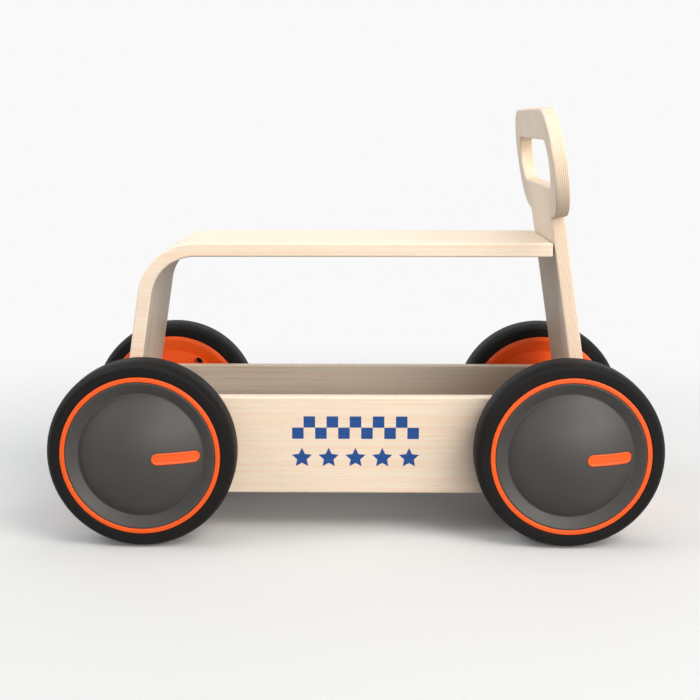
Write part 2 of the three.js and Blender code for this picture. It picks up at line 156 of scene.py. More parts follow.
class WheelSizes(bpy.types.PropertyGroup):
    """Wheels, measured from the middle of the wheel."""

    width: length("Width", "Width of the tyre", TYRE_HIGH[1] - TYRE_LOW[1])
    rim: length("Rim", "Radius of the rim", 0.0675)
    sidewall: length("Sidewall", "Rim to the tread's edge", 0.008)
    crown: length("Crown", "Rise of the tread", 0.0045)
    shoulder: length("Shoulder", "Radius of the tread's edges", 0.0004)
    bead_edge: length("Bead edge", "Radius of the tyre's edges at the rim", 0.0009)
    seam: length("Seam", "Gap between fitted pieces", 0.0003)
    lip: length("Lip", "Thickness of the rim's lips", 0.003)
    lip_width: length("Lip width", "Lip seen from the side", 0.00415)
    lip_edge: length("Lip edge", "Radius of the lips' edges at the tyre", 0.0007)
    lip_back: length("Lip back", "Radius of the lips' edges inside the tyre", 0.0004)
    mouth_edge: length("Mouth edge", "Radius of the edges between the outer lip and the hub cap", 0.0006)
    tyre_seat: length("Tyre seat", "Depth of the rim's channel", 0.0035)
    dish_width: length("Dish width", "Width of the cone inside the lip", 0.0105)
    dish_depth: length("Dish depth", "Depth of the cone inside the lip", 0.005)
    dish_edge: length("Dish edge", "Radius between the inner lip and the cone", 0.0011)
    dish_fillet: length("Dish fillet", "Radius between the cone and the web", 0.003)
    wall: length("Wall", "Thickness of the rim", 0.0032)
    hub: length("Hub", "Radius of the hub", 0.013)
    hub_inner: length("Hub end", "Inner end of the hub", -0.0206)
    hub_edge: length("Hub edge", "Radius of the hub's edge", 0.0012)
    hub_fillet: length("Hub fillet", "Radius between the web and the hub", 0.0018)
    bore: length("Bore", "Radius of the hub's hole", 0.0052)
    wells: count("Wells", "Screw wells in each rim", 3)
    well: length("Well", "Radius of a screw well", 0.0045)
    well_edge: length("Well place", "Well's middle to the cone", 0.0056)
    well_depth: length("Well depth", "Depth of a screw well", 0.014)
    well_wall: length("Well wall", "Thickness of a screw well's wall", 0.0015)
    well_floor: length("Well floor", "Thickness of a screw well's end", 0.002)
    cap_wall: length("Cap wall", "Thickness of the hub cap", 0.0024)
    cap_rim: length("Cap rim", "Width of the hub cap's flat rim", 0.0012)
    cap_fillet: length("Cap fillet", "Radius between the hub cap's cone and its dome", 0.0014)
    dome: length("Dome", "Rise of the hub cap", 0.0167)
    pill_width: length("Inlay width", "Width of the inlay", 0.0099)
    pill_start: length("Inlay start", "Wheel's middle to the inlay", 0.0114)
    pill_inset: length("Inlay inset", "Inlay's end to the cone", 0.0024)
    pill_proud: length("Inlay proud", "Inlay's rise above the cap", 0.0006)
    pill_gap: length("Inlay gap", "Gap round the inlay", 0.00022)
    pill_depth: length("Inlay depth", "Inlay's foot below the cap's surface", 0.0035)
    pill_panel: length("Inlay panel", "Depth of the inlay's sunk panel", 0.00033)


class FittingSizes(bpy.types.PropertyGroup):
    """Axles, bushes, screws and bolts."""

    fit: length("Fit", "Gap round fitted pieces", 0.0003)
    axle: length("Axle", "Radius of the axles", 0.005)
    axle_end: length("Axle end", "Middle of the car to an axle's end", 0.1062)
    axle_gap: length("Axle gap", "Between an axle and the pieces on it", 0.00015)
    bush_wall: length("Bush wall", "Thickness of a bush's sleeve", 0.002)
    bush_flange: length("Bush flange", "Reach of a bush's flange beyond its sleeve", 0.005)
    bush_face: length("Bush face", "Thickness of a bush's flange", 0.003)
    washer: length("Washer", "Thickness of the washers", 0.0015)
    washer_width: length("Washer width", "A washer's hole to its rim", 0.005)
    push_cap_wall: length("Push cap wall", "Thickness of the axle caps' sides", 0.0035)
    push_cap_depth: length("Push cap depth", "Depth of the axle caps' holes", 0.0043)
    push_cap_crown: length("Push cap crown", "Thickness of the axle caps' ends", 0.0014)
    screw_head: length("Screw head", "Radius of the board screws' heads", 0.004)
    screw_drop: length("Countersink", "Depth of the board screws' heads", 0.0024)
    screw_shank: length("Screw shank", "Radius of the board screws", 0.002)
    screw_length: length("Screw length", "Length of the board screws", 0.04)
    cap_screw_head: length("Cap screw head", "Radius of the cap screws' heads", 0.0031)
    cap_screw_height: length("Cap screw height", "Height of the cap screws' heads", 0.002)
    cap_screw_shank: length("Cap screw shank", "Radius of the cap screws", 0.0014)
    cap_screw_length: length("Cap screw length", "Length of the cap screws", 0.012)
    bolt_head: length("Bolt head", "Radius of the seat bolts' heads", 0.007)
    bolt_height: length("Bolt height", "Height of the seat bolts' heads", 0.002)
    bolt_shank: length("Bolt shank", "Radius of the seat bolts", 0.0025)
    bolt_hole: length("Bolt hole", "Radius of the bolts' holes in the post", 0.003)
    bolt_sink: length("Bolt sink", "Depth of the holes for the bolts' heads", 0.0043)
    bolt_drop: length("Bolt drop", "Post's face to the bolts' heads", 0.002)
    bolt_spacing: length("Bolt spacing", "Between the seat bolts", 0.07)
    nut: length("Nut", "Radius of the barrel nuts", 0.004)
    nut_length: length("Nut length", "Length of the barrel nuts in the seat", 0.0094)
    nut_proud: length("Nut proud", "Barrel nuts' ends below the seat", 0.00015)
    nut_reach: length("Nut place", "Seat's end to the barrel nut", 0.034)


class PrintSizes(bpy.types.PropertyGroup):
    """Printed band on the side boards."""

    square: length("Square", "Side of a printed square", 0.01)
    columns: count("Columns", "Squares in the lower row", 6)
    stars: count("Stars", "Stars in the row under the squares", 5)
    star: length("Star", "Radius of a star's points", 0.0092)
    star_waist: share("Star waist", "Inner radius as a share of the points'", 0.48)
    star_spacing: length("Star spacing", "Between neighbouring stars", 0.0233)
    band_height: length("Band height", "Floor to the line between the two rows", 0.0949)
    star_height: length("Star height", "Floor to the stars' middle", 0.0678)
    ink: length("Ink", "Thickness of the ink", 0.00006)


class Finishes(bpy.types.PropertyGroup):
    """Colours."""

    wood: tint("Wood", "Pale veneer", 250, 236, 219)
    wood_fibre: tint("Fibre", "Darker fibres of the veneer", 238, 217, 192)
    wood_line: tint("Growth lines", "Thin warm lines along the grain", 247, 211, 177)
    # painted shade: these two tints darken and grey the wood's inner faces under the seat and inside the
    # tray, with the grain's veins in the second
    painted_shade_tint: tint("Painted shade", "Tone of the inner faces against the outer ones", 211, 217, 223)
    painted_shade_veins: tint("Painted shade's veins", "Tone of its veins against the outer veneers", 194, 199, 205)
    wood_end: tint("End grain", "Layers cut across the grain", 246, 228, 203)
    glue: tint("Glue", "Lines between the layers", 190, 150, 112)
    rubber: tint("Rubber", "Tyres", 15, 14, 14)
    rubber_worn: tint("Worn rubber", "Tread where it rolls", 19, 18, 18)
    orange: tint("Orange", "Rims and inlays", 248, 94, 19)
    grey: tint("Grey", "Hub caps", 62, 60, 59)
    nylon: tint("Nylon", "Axle bushes", 232, 230, 222)
    steel: tint("Steel", "Axles, bolts and board screws", 196, 198, 201)
    # painted shade: these screws sit deep in the rims' wells, and their near-black steel stands in for the
    # shade there
    well_shade_steel: tint("Near-black steel for shaded wells", "Screws behind the hub caps", 58, 55, 53)
    ink: tint("Ink", "Printed band", 0, 73, 148)
    floor: tint("Floor", "Studio floor", 237, 239, 241)
    floor_bounce: tint("Floor bounce", "Studio floor as it throws light back on the car", 125, 126, 128)
    backdrop: tint("Backdrop", "Studio background", 249, 249, 249)
    horizon: tint("Horizon", "Even light from the sides", 243, 249, 255)
    zenith: tint("Zenith", "Even light from overhead", 214, 217, 220)
    warm_lamp: tint("Warm lamps", "Light of the key, front and right panels", 255, 247, 237)
    plain_lamp: tint("Plain lamps", "Light of the other panels", 252, 253, 250)


class StudioSizes(bpy.types.PropertyGroup):
    """Camera and lights."""

    camera_place: bpy.props.FloatVectorProperty(
        name="Camera",
        description="Place of the camera",
        default=(0.0069, -1.1355, 0.3584),
        subtype="TRANSLATION",
        unit="LENGTH",
    )
    camera_pitch: angle("Pitch", "Camera's look down", 10.43)
    camera_yaw: angle("Yaw", "Camera's turn to the right", -0.63)
    focal_pixels: bpy.props.FloatProperty(
        name="Focal length", description="Focal length in pixels of the square image", default=1257.8
    )
    floor_reach: length("Floor", "Middle of the floor to its edges", 9.0)
    fade_start: length("Fade start", "Where the floor begins to melt into the backdrop", 0.22)
    fade_end: length("Fade end", "Where the floor has melted into the backdrop", 0.9)
    world_light: share("World", "Even light from all round", 0.42, 4.0)
    key_watts: watts("Key", "High panel at the front, on the handle's side", 41.0)
    top_watts: watts("Top", "Large panel overhead", 6.5)
    front_watts: watts("Front", "Wide low panel at the front", 41.0)
    right_watts: watts("Right", "Panel at the handle's side", 32.0)
    left_watts: watts("Left", "Panel at the leg's side", 8.8)
    fill_watts: watts("Fill", "Panel at the leg's side that leaves the floor out", 12.2)
    back_watts: watts("Back", "Panel behind the car", 13.0)


def scene_group(name):
    return getattr(bpy.context.scene, name)


# Mesh helpers


def mesh_from(name, build):
    """Ends a bmesh and keeps its mesh."""
    mesh = bpy.data.meshes.new(name)
    build.to_mesh(mesh)
    build.free()
    return mesh


def bridge(build, rows):
    """Walls between each closed row of vertices and the next."""
    for row, after in zip(rows, rows[1:]):
        for i in range(len(row)):
            j = (i + 1) % len(row)
            build.faces.new((row[i], row[j], after[j], after[i]))


def link(name, data):
    """Puts a mesh, lamp or camera in the scene."""
    piece = bpy.data.objects.new(name, data)
    bpy.context.scene.collection.objects.link(piece)
    return piece


def finish_piece(piece, body, material, nodes):
    """Dresses a piece and hands it to the frame."""
    if material is not None:
        piece.data.materials.clear()
        piece.data.materials.append(material)
    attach(piece, body)
    if nodes:
        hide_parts(*nodes)
    return piece


def settle(piece):
    """Applies a piece's modifiers and leaves a plain mesh."""
    depsgraph = bpy.context.evaluated_depsgraph_get()
    made = bpy.data.meshes.new_from_object(piece.evaluated_get(depsgraph))
    piece.modifiers.clear()
    old = piece.data
    piece.data = made
    bpy.data.meshes.remove(old)
    made.name = piece.name
    return piece


def even_normals(piece):
    """Keeps flat faces flat next to their rounded edges."""
    weighted = piece.modifiers.new("flat faces", "WEIGHTED_NORMAL")
    weighted.mode = "FACE_AREA"
    weighted.weight = 100
    weighted.keep_sharp = True
    return settle(piece)


def smooth_below(mesh, degrees):
    """Smooth shading, with a crease wherever two faces meet more sharply."""
    build = bmesh.new()
    build.from_mesh(mesh)
    bmesh.ops.recalc_face_normals(build, faces=build.faces)
    limit = math.radians(degrees)
    for face in build.faces:
        face.smooth = True
    for edge in build.edges:
        edge.smooth = not edge.is_manifold or edge.calc_face_angle() < limit
    build.to_mesh(mesh)
    build.free()


def rounded(points, steps=4):
    """A closed [a, b] outline from [a, b, radius] corners; a radius gives way where its sides are short."""
    outline = []
    for i, (a, b, radius) in enumerate(points):
        here = Vector((a, b))
        if radius <= 0:
            outline.append(here)
            continue
        back = Vector(points[i - 1][:2]) - here
        ahead = Vector(points[(i + 1) % len(points)][:2]) - here
        half = back.angle(ahead) / 2
        reach = min(radius / math.tan(half), 0.48 * back.length, 0.48 * ahead.length)
        fit = reach * math.tan(half)
        centre = here + (back.normalized() + ahead.normalized()).normalized() * (fit / math.sin(half))
        start = here + back.normalized() * reach - centre
        end = here + ahead.normalized() * reach - centre
        sweep = math.atan2(start.x * end.y - start.y * end.x, start.dot(end))
        for step in range(steps + 1):
            turn = sweep * step / steps
            outline.append(centre + Matrix.Rotation(turn, 2) @ start)
    return outline


def arc(a, b, radius, start, end, steps):
    """Points on an arc, angles in degrees."""
    turns = [math.radians(start + (end - start) * i / steps) for i in range(steps + 1)]
    return [Vector((a + radius * math.cos(turn), b + radius * math.sin(turn))) for turn in turns]


def circle(a, b, radius, steps):
    return arc(a, b, radius, 0, 360, steps)[:-1]


def hole(a, b, radius, steps):
    """A circle with the material on its left."""
    return circle(a, b, radius, steps)[::-1]


def turned(name, outline, steps):
    """A solid of revolution about the Y axis from a closed outline of [radius, y]."""
    build = bmesh.new()
    rings = []
    for radius, y in outline:
        if radius < 1e-7:
            rings.append([build.verts.new((0, y, 0))] * steps)
        else:
            rings.append([build.verts.new((point.x, y, point.y)) for point in circle(0, 0, radius, steps)])
    for ring, after in zip(rings, rings[1:] + rings[:1]):
        for i in range(steps):
            j = (i + 1) % steps
            corners = list(dict.fromkeys((ring[i], ring[j], after[j], after[i])))
            if len(corners) > 2:
                build.faces.new(corners)
    mesh = mesh_from(name, build)
    smooth_below(mesh, 38)
    return link(name, mesh)


def edge_rings(thickness, edge, steps=4):
    """Inset and depth of each ring from one face of a sheet to the other, over its rounded edges."""
    turns = [math.pi / 2 * i / steps for i in range(steps + 1)]
    low = [(edge * (1 - math.sin(turn)), edge * (1 - math.cos(turn))) for turn in turns]
    return low + [(inset, thickness - depth) for inset, depth in reversed(low)]


def pushed_in(outline, inset):
    """An outline moved towards the material on its left by an inset."""
    moved = []
    for i, here in enumerate(outline):
        back = (here - outline[i - 1]).normalized()
        ahead = (outline[(i + 1) % len(outline)] - here).normalized()
        across = Vector((-back.y - ahead.y, back.x + ahead.x))
        across.normalize()
        scale = max(0.3, across.dot(Vector((-back.y, back.x))))
        moved.append(here + across * (inset / scale))
    return moved


def sheet(name, loops, place, grain, inner=None):
    """A flat sheet. Each loop is (outline, rings, shear): the first is the outside, the others are holes,
    listed with the material on their left. place puts [a, b, depth] in the car."""
    build = bmesh.new()
    rims = ([], [])
    for outline, rings, shear in loops:
        rows = []
        for inset, depth in rings:
            points = pushed_in(outline, inset)
            rows.append([build.verts.new(place(point.x, point.y + shear * depth, depth)) for point in points])
        bridge(build, rows)
        for rim, row in zip(rims, (rows[0], rows[-1])):
            rim += [build.edges.get((row[i], row[(i + 1) % len(row)])) for i in range(len(row))]
    for rim in rims:
        bmesh.ops.triangle_fill(build, edges=rim, use_beauty=True, use_dissolve=False)
    mesh = mesh_from(name, build)
    smooth_below(mesh, 40)
    return lay_grain(even_normals(link(name, mesh)), grain, inner)


def lay_grain(piece, grain, inner=None):
    """Stores each face corner's place in the wood: along the fibres, across them, and depth in the sheet.
    grain works it out from the corner's place and the face's normal, and inner says how much painted
    shade a face takes, on faces that lie in shade."""
    mesh = piece.data
    mesh.attributes.new(PLY_ATTRIBUTE, "FLOAT_VECTOR", "CORNER")
    mesh.attributes.new(SHADE_ATTRIBUTE, "FLOAT", "CORNER")
    ply = mesh.attributes[PLY_ATTRIBUTE]
    back = mesh.attributes[SHADE_ATTRIBUTE]
    for face in mesh.polygons:
        # share of painted shade on this face
        veneer = inner(face.normal) if inner else 0.0
        for corner in face.loop_indices:
            place = mesh.vertices[mesh.loops[corner].vertex_index].co
            ply.data[corner].vector = grain(place, face.normal)
            back.data[corner].value = veneer
    return piece


def cutter(name, outline, low, high):
    """A plain prism along Y for cutting, from an outline of [x, z]."""
    build = bmesh.new()
    rows = [[build.verts.new((point.x, y, point.y)) for point in outline] for y in (low, high)]
    bridge(build, rows)
    for row in rows:
        build.faces.new(row)
    bmesh.ops.recalc_face_normals(build, faces=build.faces)
    return link(name, mesh_from(name, build))


def cut(piece, tool):
    """Takes a tool's shape out of a piece and removes the tool."""
    take = piece.modifiers.new("cut", "BOOLEAN")
    take.operation = "DIFFERENCE"
    take.solver = "EXACT"
    take.object = tool
    settle(piece)
    bpy.data.objects.remove(tool)
    return piece


# Node helpers


def put(tree, kind, inputs=None, **settings):
    """Adds a node; an input is a value or the socket that feeds it."""
    made = tree.nodes.new(kind)
    for key, value in settings.items():
        setattr(made, key, value)
    for key, value in (inputs or {}).items():
        socket = made.inputs[key]
        if isinstance(value, bpy.types.NodeSocket):
            tree.links.new(value, socket)
        else:
            socket.default_value = value
    return made


def sums(tree, operation, *values):
    """A sum on values or sockets."""
    return put(tree, "ShaderNodeMath", dict(enumerate(values)), operation=operation).outputs[0]


def mixed(tree, factor, first, second, blend="MIX"):
    """Two colours mixed."""
    node = put(tree, "ShaderNodeMix", {0: factor, 6: first, 7: second}, data_type="RGBA", blend_type=blend)
    return node.outputs[2]


def between(tree, factor, first, second):
    """Two values mixed."""
    return put(tree, "ShaderNodeMix", {0: factor, 2: first, 3: second}, data_type="FLOAT").outputs[0]


def ramp(tree, value, low, high):
    """A soft step from 0 at low to 1 at high."""
    inputs = {0: value, 1: low, 2: high}
    return put(tree, "ShaderNodeMapRange", inputs, interpolation_type="SMOOTHSTEP").outputs[0]


def noise(tree, vector, scale, detail=2.0, roughness=0.5, distortion=0.0):
    return put(tree, "ShaderNodeTexNoise", {
        "Vector": vector,
        "Scale": scale,
        "Detail": detail,
        "Roughness": roughness,
        "Distortion": distortion,
    }).outputs[0]


def stretched(tree, vector, scale):
    return put(tree, "ShaderNodeVectorMath", {0: vector, 1: scale}, operation="MULTIPLY").outputs[0]


def opaque(colour):
    return (*colour, 1.0)


def new_group(name, inputs, outputs, kind="ShaderNodeTree"):
    """A node group with named sockets; inputs and outputs are name: type."""
    tree = bpy.data.node_groups.new(name, kind)
    for label, socket in inputs.items():
        tree.interface.new_socket(label, in_out="INPUT", socket_type=f"NodeSocket{socket}")
    for label, socket in outputs.items():
        tree.interface.new_socket(label, in_out="OUTPUT", socket_type=f"NodeSocket{socket}")
    return tree, put(tree, "NodeGroupInput"), put(tree, "NodeGroupOutput")


def group_node(tree, group, inputs):
    return put(tree, "ShaderNodeGroup", inputs, node_tree=group)


# Finishes


def ply_group():
    """Birch plywood: fibres and figure along each veneer, crossed layers and glue lines on the edges."""
    tree, given, result = new_group(
        "birch ply",
        {
            "Ply": "Vector",
            "Wood": "Color",
            "Fibre": "Color",
            "Growth lines": "Color",
            "End grain": "Color",
            "Glue": "Color",
            "Veneer": "Float",
            "Thickness": "Float",
        },
        {"Color": "Color", "Roughness": "Float", "Height": "Float", "Veins": "Float"},
    )
    split = put(tree, "ShaderNodeSeparateXYZ", {0: given.outputs["Ply"]})
    along, across, depth = split.outputs
    # level counts the layers through the sheet, and stays just inside its two faces
    layers = sums(tree, "DIVIDE", given.outputs["Thickness"], given.outputs["Veneer"])
    level = sums(tree, "MAXIMUM", sums(tree, "DIVIDE", depth, given.outputs["Veneer"]), 0.02)
    level = sums(tree, "MINIMUM", level, sums(tree, "SUBTRACT", layers, 0.02))
    layer = sums(tree, "FLOOR", level)
    # the outer veneers run along the sheet, and every second layer across it
    from_back = sums(tree, "SUBTRACT", sums(tree, "SUBTRACT", layers, 1.0), layer)
    mirrored = sums(tree, "MINIMUM", layer, from_back)
    crossed = sums(tree, "MODULO", sums(tree, "ROUND", mirrored), 2.0)
    run = between(tree, crossed, along, across)
    over = between(tree, crossed, across, along)
    shift = sums(tree, "MULTIPLY", layer, 3.7)

    def grain(run_scale, over_scale, detail, roughness=0.55, distortion=0.0):
        """A noise drawn out along the fibres; the scales are per metre."""
        height = sums(tree, "MULTIPLY_ADD", depth, over_scale, shift)
        vector = put(tree, "ShaderNodeCombineXYZ", {
            0: sums(tree, "MULTIPLY", run, run_scale),
            1: sums(tree, "MULTIPLY", over, over_scale),
            2: height,
        }).outputs[0]
        return noise(tree, vector, 1.0, detail, roughness, distortion)

    fibres = ramp(tree, grain(16.0, 760.0, 4.0), 0.36, 0.68)
    figure = ramp(tree, grain(3.2, 46.0, 3.0, 0.5, 0.35), 0.35, 0.7)
    lines = ramp(tree, grain(4.0, 620.0, 3.0, 0.55, 0.2), 0.46, 0.66)
    bands = ramp(tree, grain(2.0, 130.0, 2.0, 0.5, 0.3), 0.5, 0.7)
    veins = ramp(tree, grain(4.0, 150.0, 3.0, 0.55, 0.4), 0.44, 0.72)
    pores = ramp(tree, grain(95.0, 1900.0, 1.0), 0.64, 0.76)
    cloud = ramp(tree, grain(5.0, 9.0, 2.0), 0.3, 0.72)
    depth_of_tone = sums(tree, "MULTIPLY_ADD", fibres, 0.3, sums(tree, "MULTIPLY", figure, 0.3))
    colour = mixed(tree, depth_of_tone, given.outputs["Wood"], given.outputs["Fibre"])
    colour = mixed(tree, sums(tree, "MULTIPLY", cloud, 0.16), colour, given.outputs["Fibre"])
    warmth = sums(tree, "MULTIPLY_ADD", lines, 0.5, sums(tree, "MULTIPLY", bands, 0.2))
    colour = mixed(tree, warmth, colour, given.outputs["Growth lines"])
    ends = sums(tree, "MULTIPLY", crossed, 0.3)
    colour = mixed(tree, ends, colour, given.outputs["End grain"])
    colour = mixed(tree, sums(tree, "MULTIPLY", pores, 0.34), colour, given.outputs["Glue"])
    # glue lines only between layers, not on the faces
    off_line = sums(tree, "ABSOLUTE", sums(tree, "SUBTRACT", level, sums(tree, "ROUND", level)))
    past_front = sums(tree, "GREATER_THAN", level, 0.5)
    before_back = sums(tree, "LESS_THAN", level, sums(tree, "SUBTRACT", layers, 0.5))
    inside = sums(tree, "MULTIPLY", past_front, before_back)
    line = sums(tree, "MULTIPLY", ramp(tree, off_line, 0.26, 0.05), inside)
    colour = mixed(tree, sums(tree, "MULTIPLY", line, 0.55), colour, given.outputs["Glue"])
    tree.links.new(colour, result.inputs["Color"])
    rough = sums(tree, "MULTIPLY_ADD", fibres, 0.12, 0.5)
    tree.links.new(sums(tree, "MULTIPLY_ADD", crossed, 0.1, rough), result.inputs["Roughness"])
    height = sums(tree, "MULTIPLY_ADD", pores, -0.9, sums(tree, "MULTIPLY", fibres, -0.5))
    tree.links.new(sums(tree, "MULTIPLY_ADD", line, -0.6, height), result.inputs["Height"])
    tree.links.new(veins, result.inputs["Veins"])
    return tree


def handled_group():
    """Faint smudges and tone drift of a piece that has been handled."""
    tree, given, result = new_group(
        "handled surface",
        {"Color": "Color", "Drift": "Float", "Roughness": "Float", "Smudge": "Float", "Grain": "Float"},
        {"Color": "Color", "Roughness": "Float", "Height": "Float"},
    )
    place = put(tree, "ShaderNodeTexCoord").outputs["Object"]
    drift = noise(tree, place, 34.0, 3.0, 0.55)
    smudge = noise(tree, place, 85.0, 5.0, 0.62, 0.4)
    grain = noise(tree, place, given.outputs["Grain"], 2.0, 0.6)
    darker = mixed(tree, 1.0, given.outputs["Color"], (0.62, 0.6, 0.58, 1.0), "MULTIPLY")
    amount = sums(tree, "MULTIPLY", ramp(tree, drift, 0.32, 0.72), given.outputs["Drift"])
    colour = mixed(tree, amount, given.outputs["Color"], darker)
    tree.links.new(colour, result.inputs["Color"])
    centred = sums(tree, "SUBTRACT", smudge, 0.5)
    rough = sums(tree, "MULTIPLY_ADD", centred, given.outputs["Smudge"], given.outputs["Roughness"])
    tree.links.new(rough, result.inputs["Roughness"])
    tree.links.new(grain, result.inputs["Height"])
    return tree


def new_material(name):
    material = bpy.data.materials.new(name)
    material.use_nodes = True
    tree = material.node_tree
    return material, tree, tree.nodes["Principled BSDF"]


def set_bump(tree, shader, height, strength, distance):
    bump = put(tree, "ShaderNodeBump", {"Height": height, "Strength": strength, "Distance": distance})
    tree.links.new(bump.outputs[0], shader.inputs["Normal"])


def plywood(finish, sheets):
    material, tree, shader = new_material("birch plywood")
    place = put(tree, "ShaderNodeAttribute", attribute_name=PLY_ATTRIBUTE).outputs["Vector"]
    # how much painted shade each face corner takes
    back = put(tree, "ShaderNodeAttribute", attribute_name=SHADE_ATTRIBUTE).outputs["Fac"]
    wood = group_node(tree, ply_group(), {
        "Ply": place,
        "Wood": opaque(finish.wood),
        "Fibre": opaque(finish.wood_fibre),
        "Growth lines": opaque(finish.wood_line),
        "End grain": opaque(finish.wood_end),
        "Glue": opaque(finish.glue),
        "Veneer": sheets.veneer,
        "Thickness": sheets.thickness,
    })
    # painted shade: faces in shade are multiplied by a greyish tint that carries the grain's veins
    shade_with_veins = mixed(tree, wood.outputs["Veins"], opaque(finish.painted_shade_tint), opaque(finish.painted_shade_veins))
    colour = mixed(tree, back, wood.outputs["Color"], shade_with_veins, "MULTIPLY")
    tree.links.new(colour, shader.inputs["Base Color"])
    tree.links.new(wood.outputs["Roughness"], shader.inputs["Roughness"])
    shader.inputs["Specular IOR Level"].default_value = 0.35
    set_bump(tree, shader, wood.outputs["Height"], 0.25, 0.0002)
    return material


def dress(tree, shader, handled, colour, drift, roughness, smudge, grain):
    """Gives a shader the colour and roughness of a handled surface."""
    surface = group_node(tree, handled, {
        "Color": colour,
        "Drift": drift,
        "Roughness": roughness,
        "Smudge": smudge,
        "Grain": grain,
    })
    tree.links.new(surface.outputs["Color"], shader.inputs["Base Color"])
    tree.links.new(surface.outputs["Roughness"], shader.inputs["Roughness"])
    return surface


def moulded(name, colour, handled, roughness, drift, smudge, grain, bump):
    """A moulded plastic with a fine texture."""
    material, tree, shader = new_material(name)
    surface = dress(tree, shader, handled, opaque(colour), drift, roughness, smudge, grain)
    set_bump(tree, shader, surface.outputs["Height"], bump, 0.0002)
    return material


def rubber(finish, handled, wheels):
    """Tyre rubber, greyer and duller over the crown that rolls on the floor."""
    material, tree, shader = new_material("tyre rubber")
    place = put(tree, "ShaderNodeTexCoord").outputs["Object"]
    across = put(tree, "ShaderNodeSeparateXYZ", {0: place}).outputs[1]
    off_middle = sums(tree, "ABSOLUTE", sums(tree, "SUBTRACT", sums(tree, "ABSOLUTE", across), WHEEL_Y))
    patches = noise(tree, place, 60.0, 4.0, 0.6)
    reach = sums(tree, "MULTIPLY_ADD", patches, 0.008, off_middle)
    worn = ramp(tree, reach, 0.5 * wheels.width + 0.003, 0.3 * wheels.width)
    wear = sums(tree, "MULTIPLY", worn, 0.6)
    base = mixed(tree, wear, opaque(finish.rubber), opaque(finish.rubber_worn))
    surface = dress(tree, shader, handled, base, drift=0.25, roughness=0.62, smudge=0.2, grain=1900.0)
    shader.inputs["Specular IOR Level"].default_value = 0.18
    set_bump(tree, shader, surface.outputs["Height"], 0.2, 0.0002)
    return material


def steel(name, colour, handled, roughness):
    material, tree, shader = new_material(name)
    surface = dress(tree, shader, handled, opaque(colour), drift=0.3,
                    roughness=roughness, smudge=0.3, grain=3400.0)
    shader.inputs["Metallic"].default_value = 1.0
    set_bump(tree, shader, surface.outputs["Height"], 0.08, 0.0001)
    return material


def printed_ink(finish):
    """Screen ink that lets a little of the fibre through."""
    material, tree, shader = new_material("printed ink")
    place = put(tree, "ShaderNodeTexCoord").outputs["Object"]
    fibres = noise(tree, stretched(tree, place, (16.0, 1.0, 760.0)), 1.0, 4.0, 0.55)
    specks = noise(tree, place, 2400.0, 2.0, 0.6)
    worn = ramp(tree, specks, 0.66, 0.8)
    thin = sums(tree, "MULTIPLY_ADD", worn, 0.16, sums(tree, "MULTIPLY", fibres, 0.05))
    colour = mixed(tree, thin, opaque(finish.ink), opaque(finish.wood))
    tree.links.new(colour, shader.inputs["Base Color"])
    tree.links.new(sums(tree, "MULTIPLY_ADD", fibres, 0.2, 0.5), shader.inputs["Roughness"])
    shader.inputs["Specular IOR Level"].default_value = 0.15
    set_bump(tree, shader, fibres, 0.15, 0.0002)
    return material


def seen_ray(tree):
    """1 where the camera sees a surface, directly, in a gloss or through glass."""
    ray = put(tree, "ShaderNodeLightPath")
    seen = sums(tree, "MAXIMUM", ray.outputs["Is Camera Ray"], ray.outputs["Is Glossy Ray"])
    return sums(tree, "MAXIMUM", seen, ray.outputs["Is Transmission Ray"])


def studio_floor(finish, studio):
    """Pale floor that keeps the shadow and melts into the backdrop far from the car."""
    material, tree, shader = new_material("studio floor")
    place = put(tree, "ShaderNodeTexCoord").outputs["Object"]
    mottle = noise(tree, place, 3.0, 3.0, 0.5)
    low = opaque([0.985 * part for part in finish.floor])
    pale = mixed(tree, mottle, low, opaque(finish.floor))
    seen = seen_ray(tree)
    tree.links.new(mixed(tree, seen, opaque(finish.floor_bounce), pale), shader.inputs["Base Color"])
    shader.inputs["Roughness"].default_value = 0.9
    shader.inputs["Specular IOR Level"].default_value = 0.1
    away = put(tree, "ShaderNodeVectorMath", {0: place}, operation="LENGTH").outputs["Value"]
    fade = sums(tree, "MULTIPLY", ramp(tree, away, studio.fade_start, studio.fade_end), seen)
    far = put(tree, "ShaderNodeEmission", {"Color": opaque(finish.backdrop), "Strength": 1.0})
    blend = put(tree, "ShaderNodeMixShader", {0: fade, 1: shader.outputs[0], 2: far.outputs[0]})
    tree.links.new(blend.outputs[0], tree.nodes["Material Output"].inputs["Surface"])
    return material


def finish_named(name):
    """A finish made earlier by the finishes operator."""
    return bpy.data.materials[name]


# Plywood pieces


def lean_parts(sheets):
    return math.sin(sheets.lean), math.cos(sheets.lean)


def inner_face(sheets, z):
    """X of the post's inner face at a height; the leg's is its mirror image."""
    return sheets.foot - z * math.tan(sheets.lean)


def screw_heights():
    rise = BOARD_HIGH[2] - BOARD_LOW[2]
    return [BOARD_LOW[2] + level * rise for level in SCREW_LEVELS]


def screw_x(sheets, z):
    return inner_face(sheets, z) + sheets.thickness / math.cos(sheets.lean) / 2


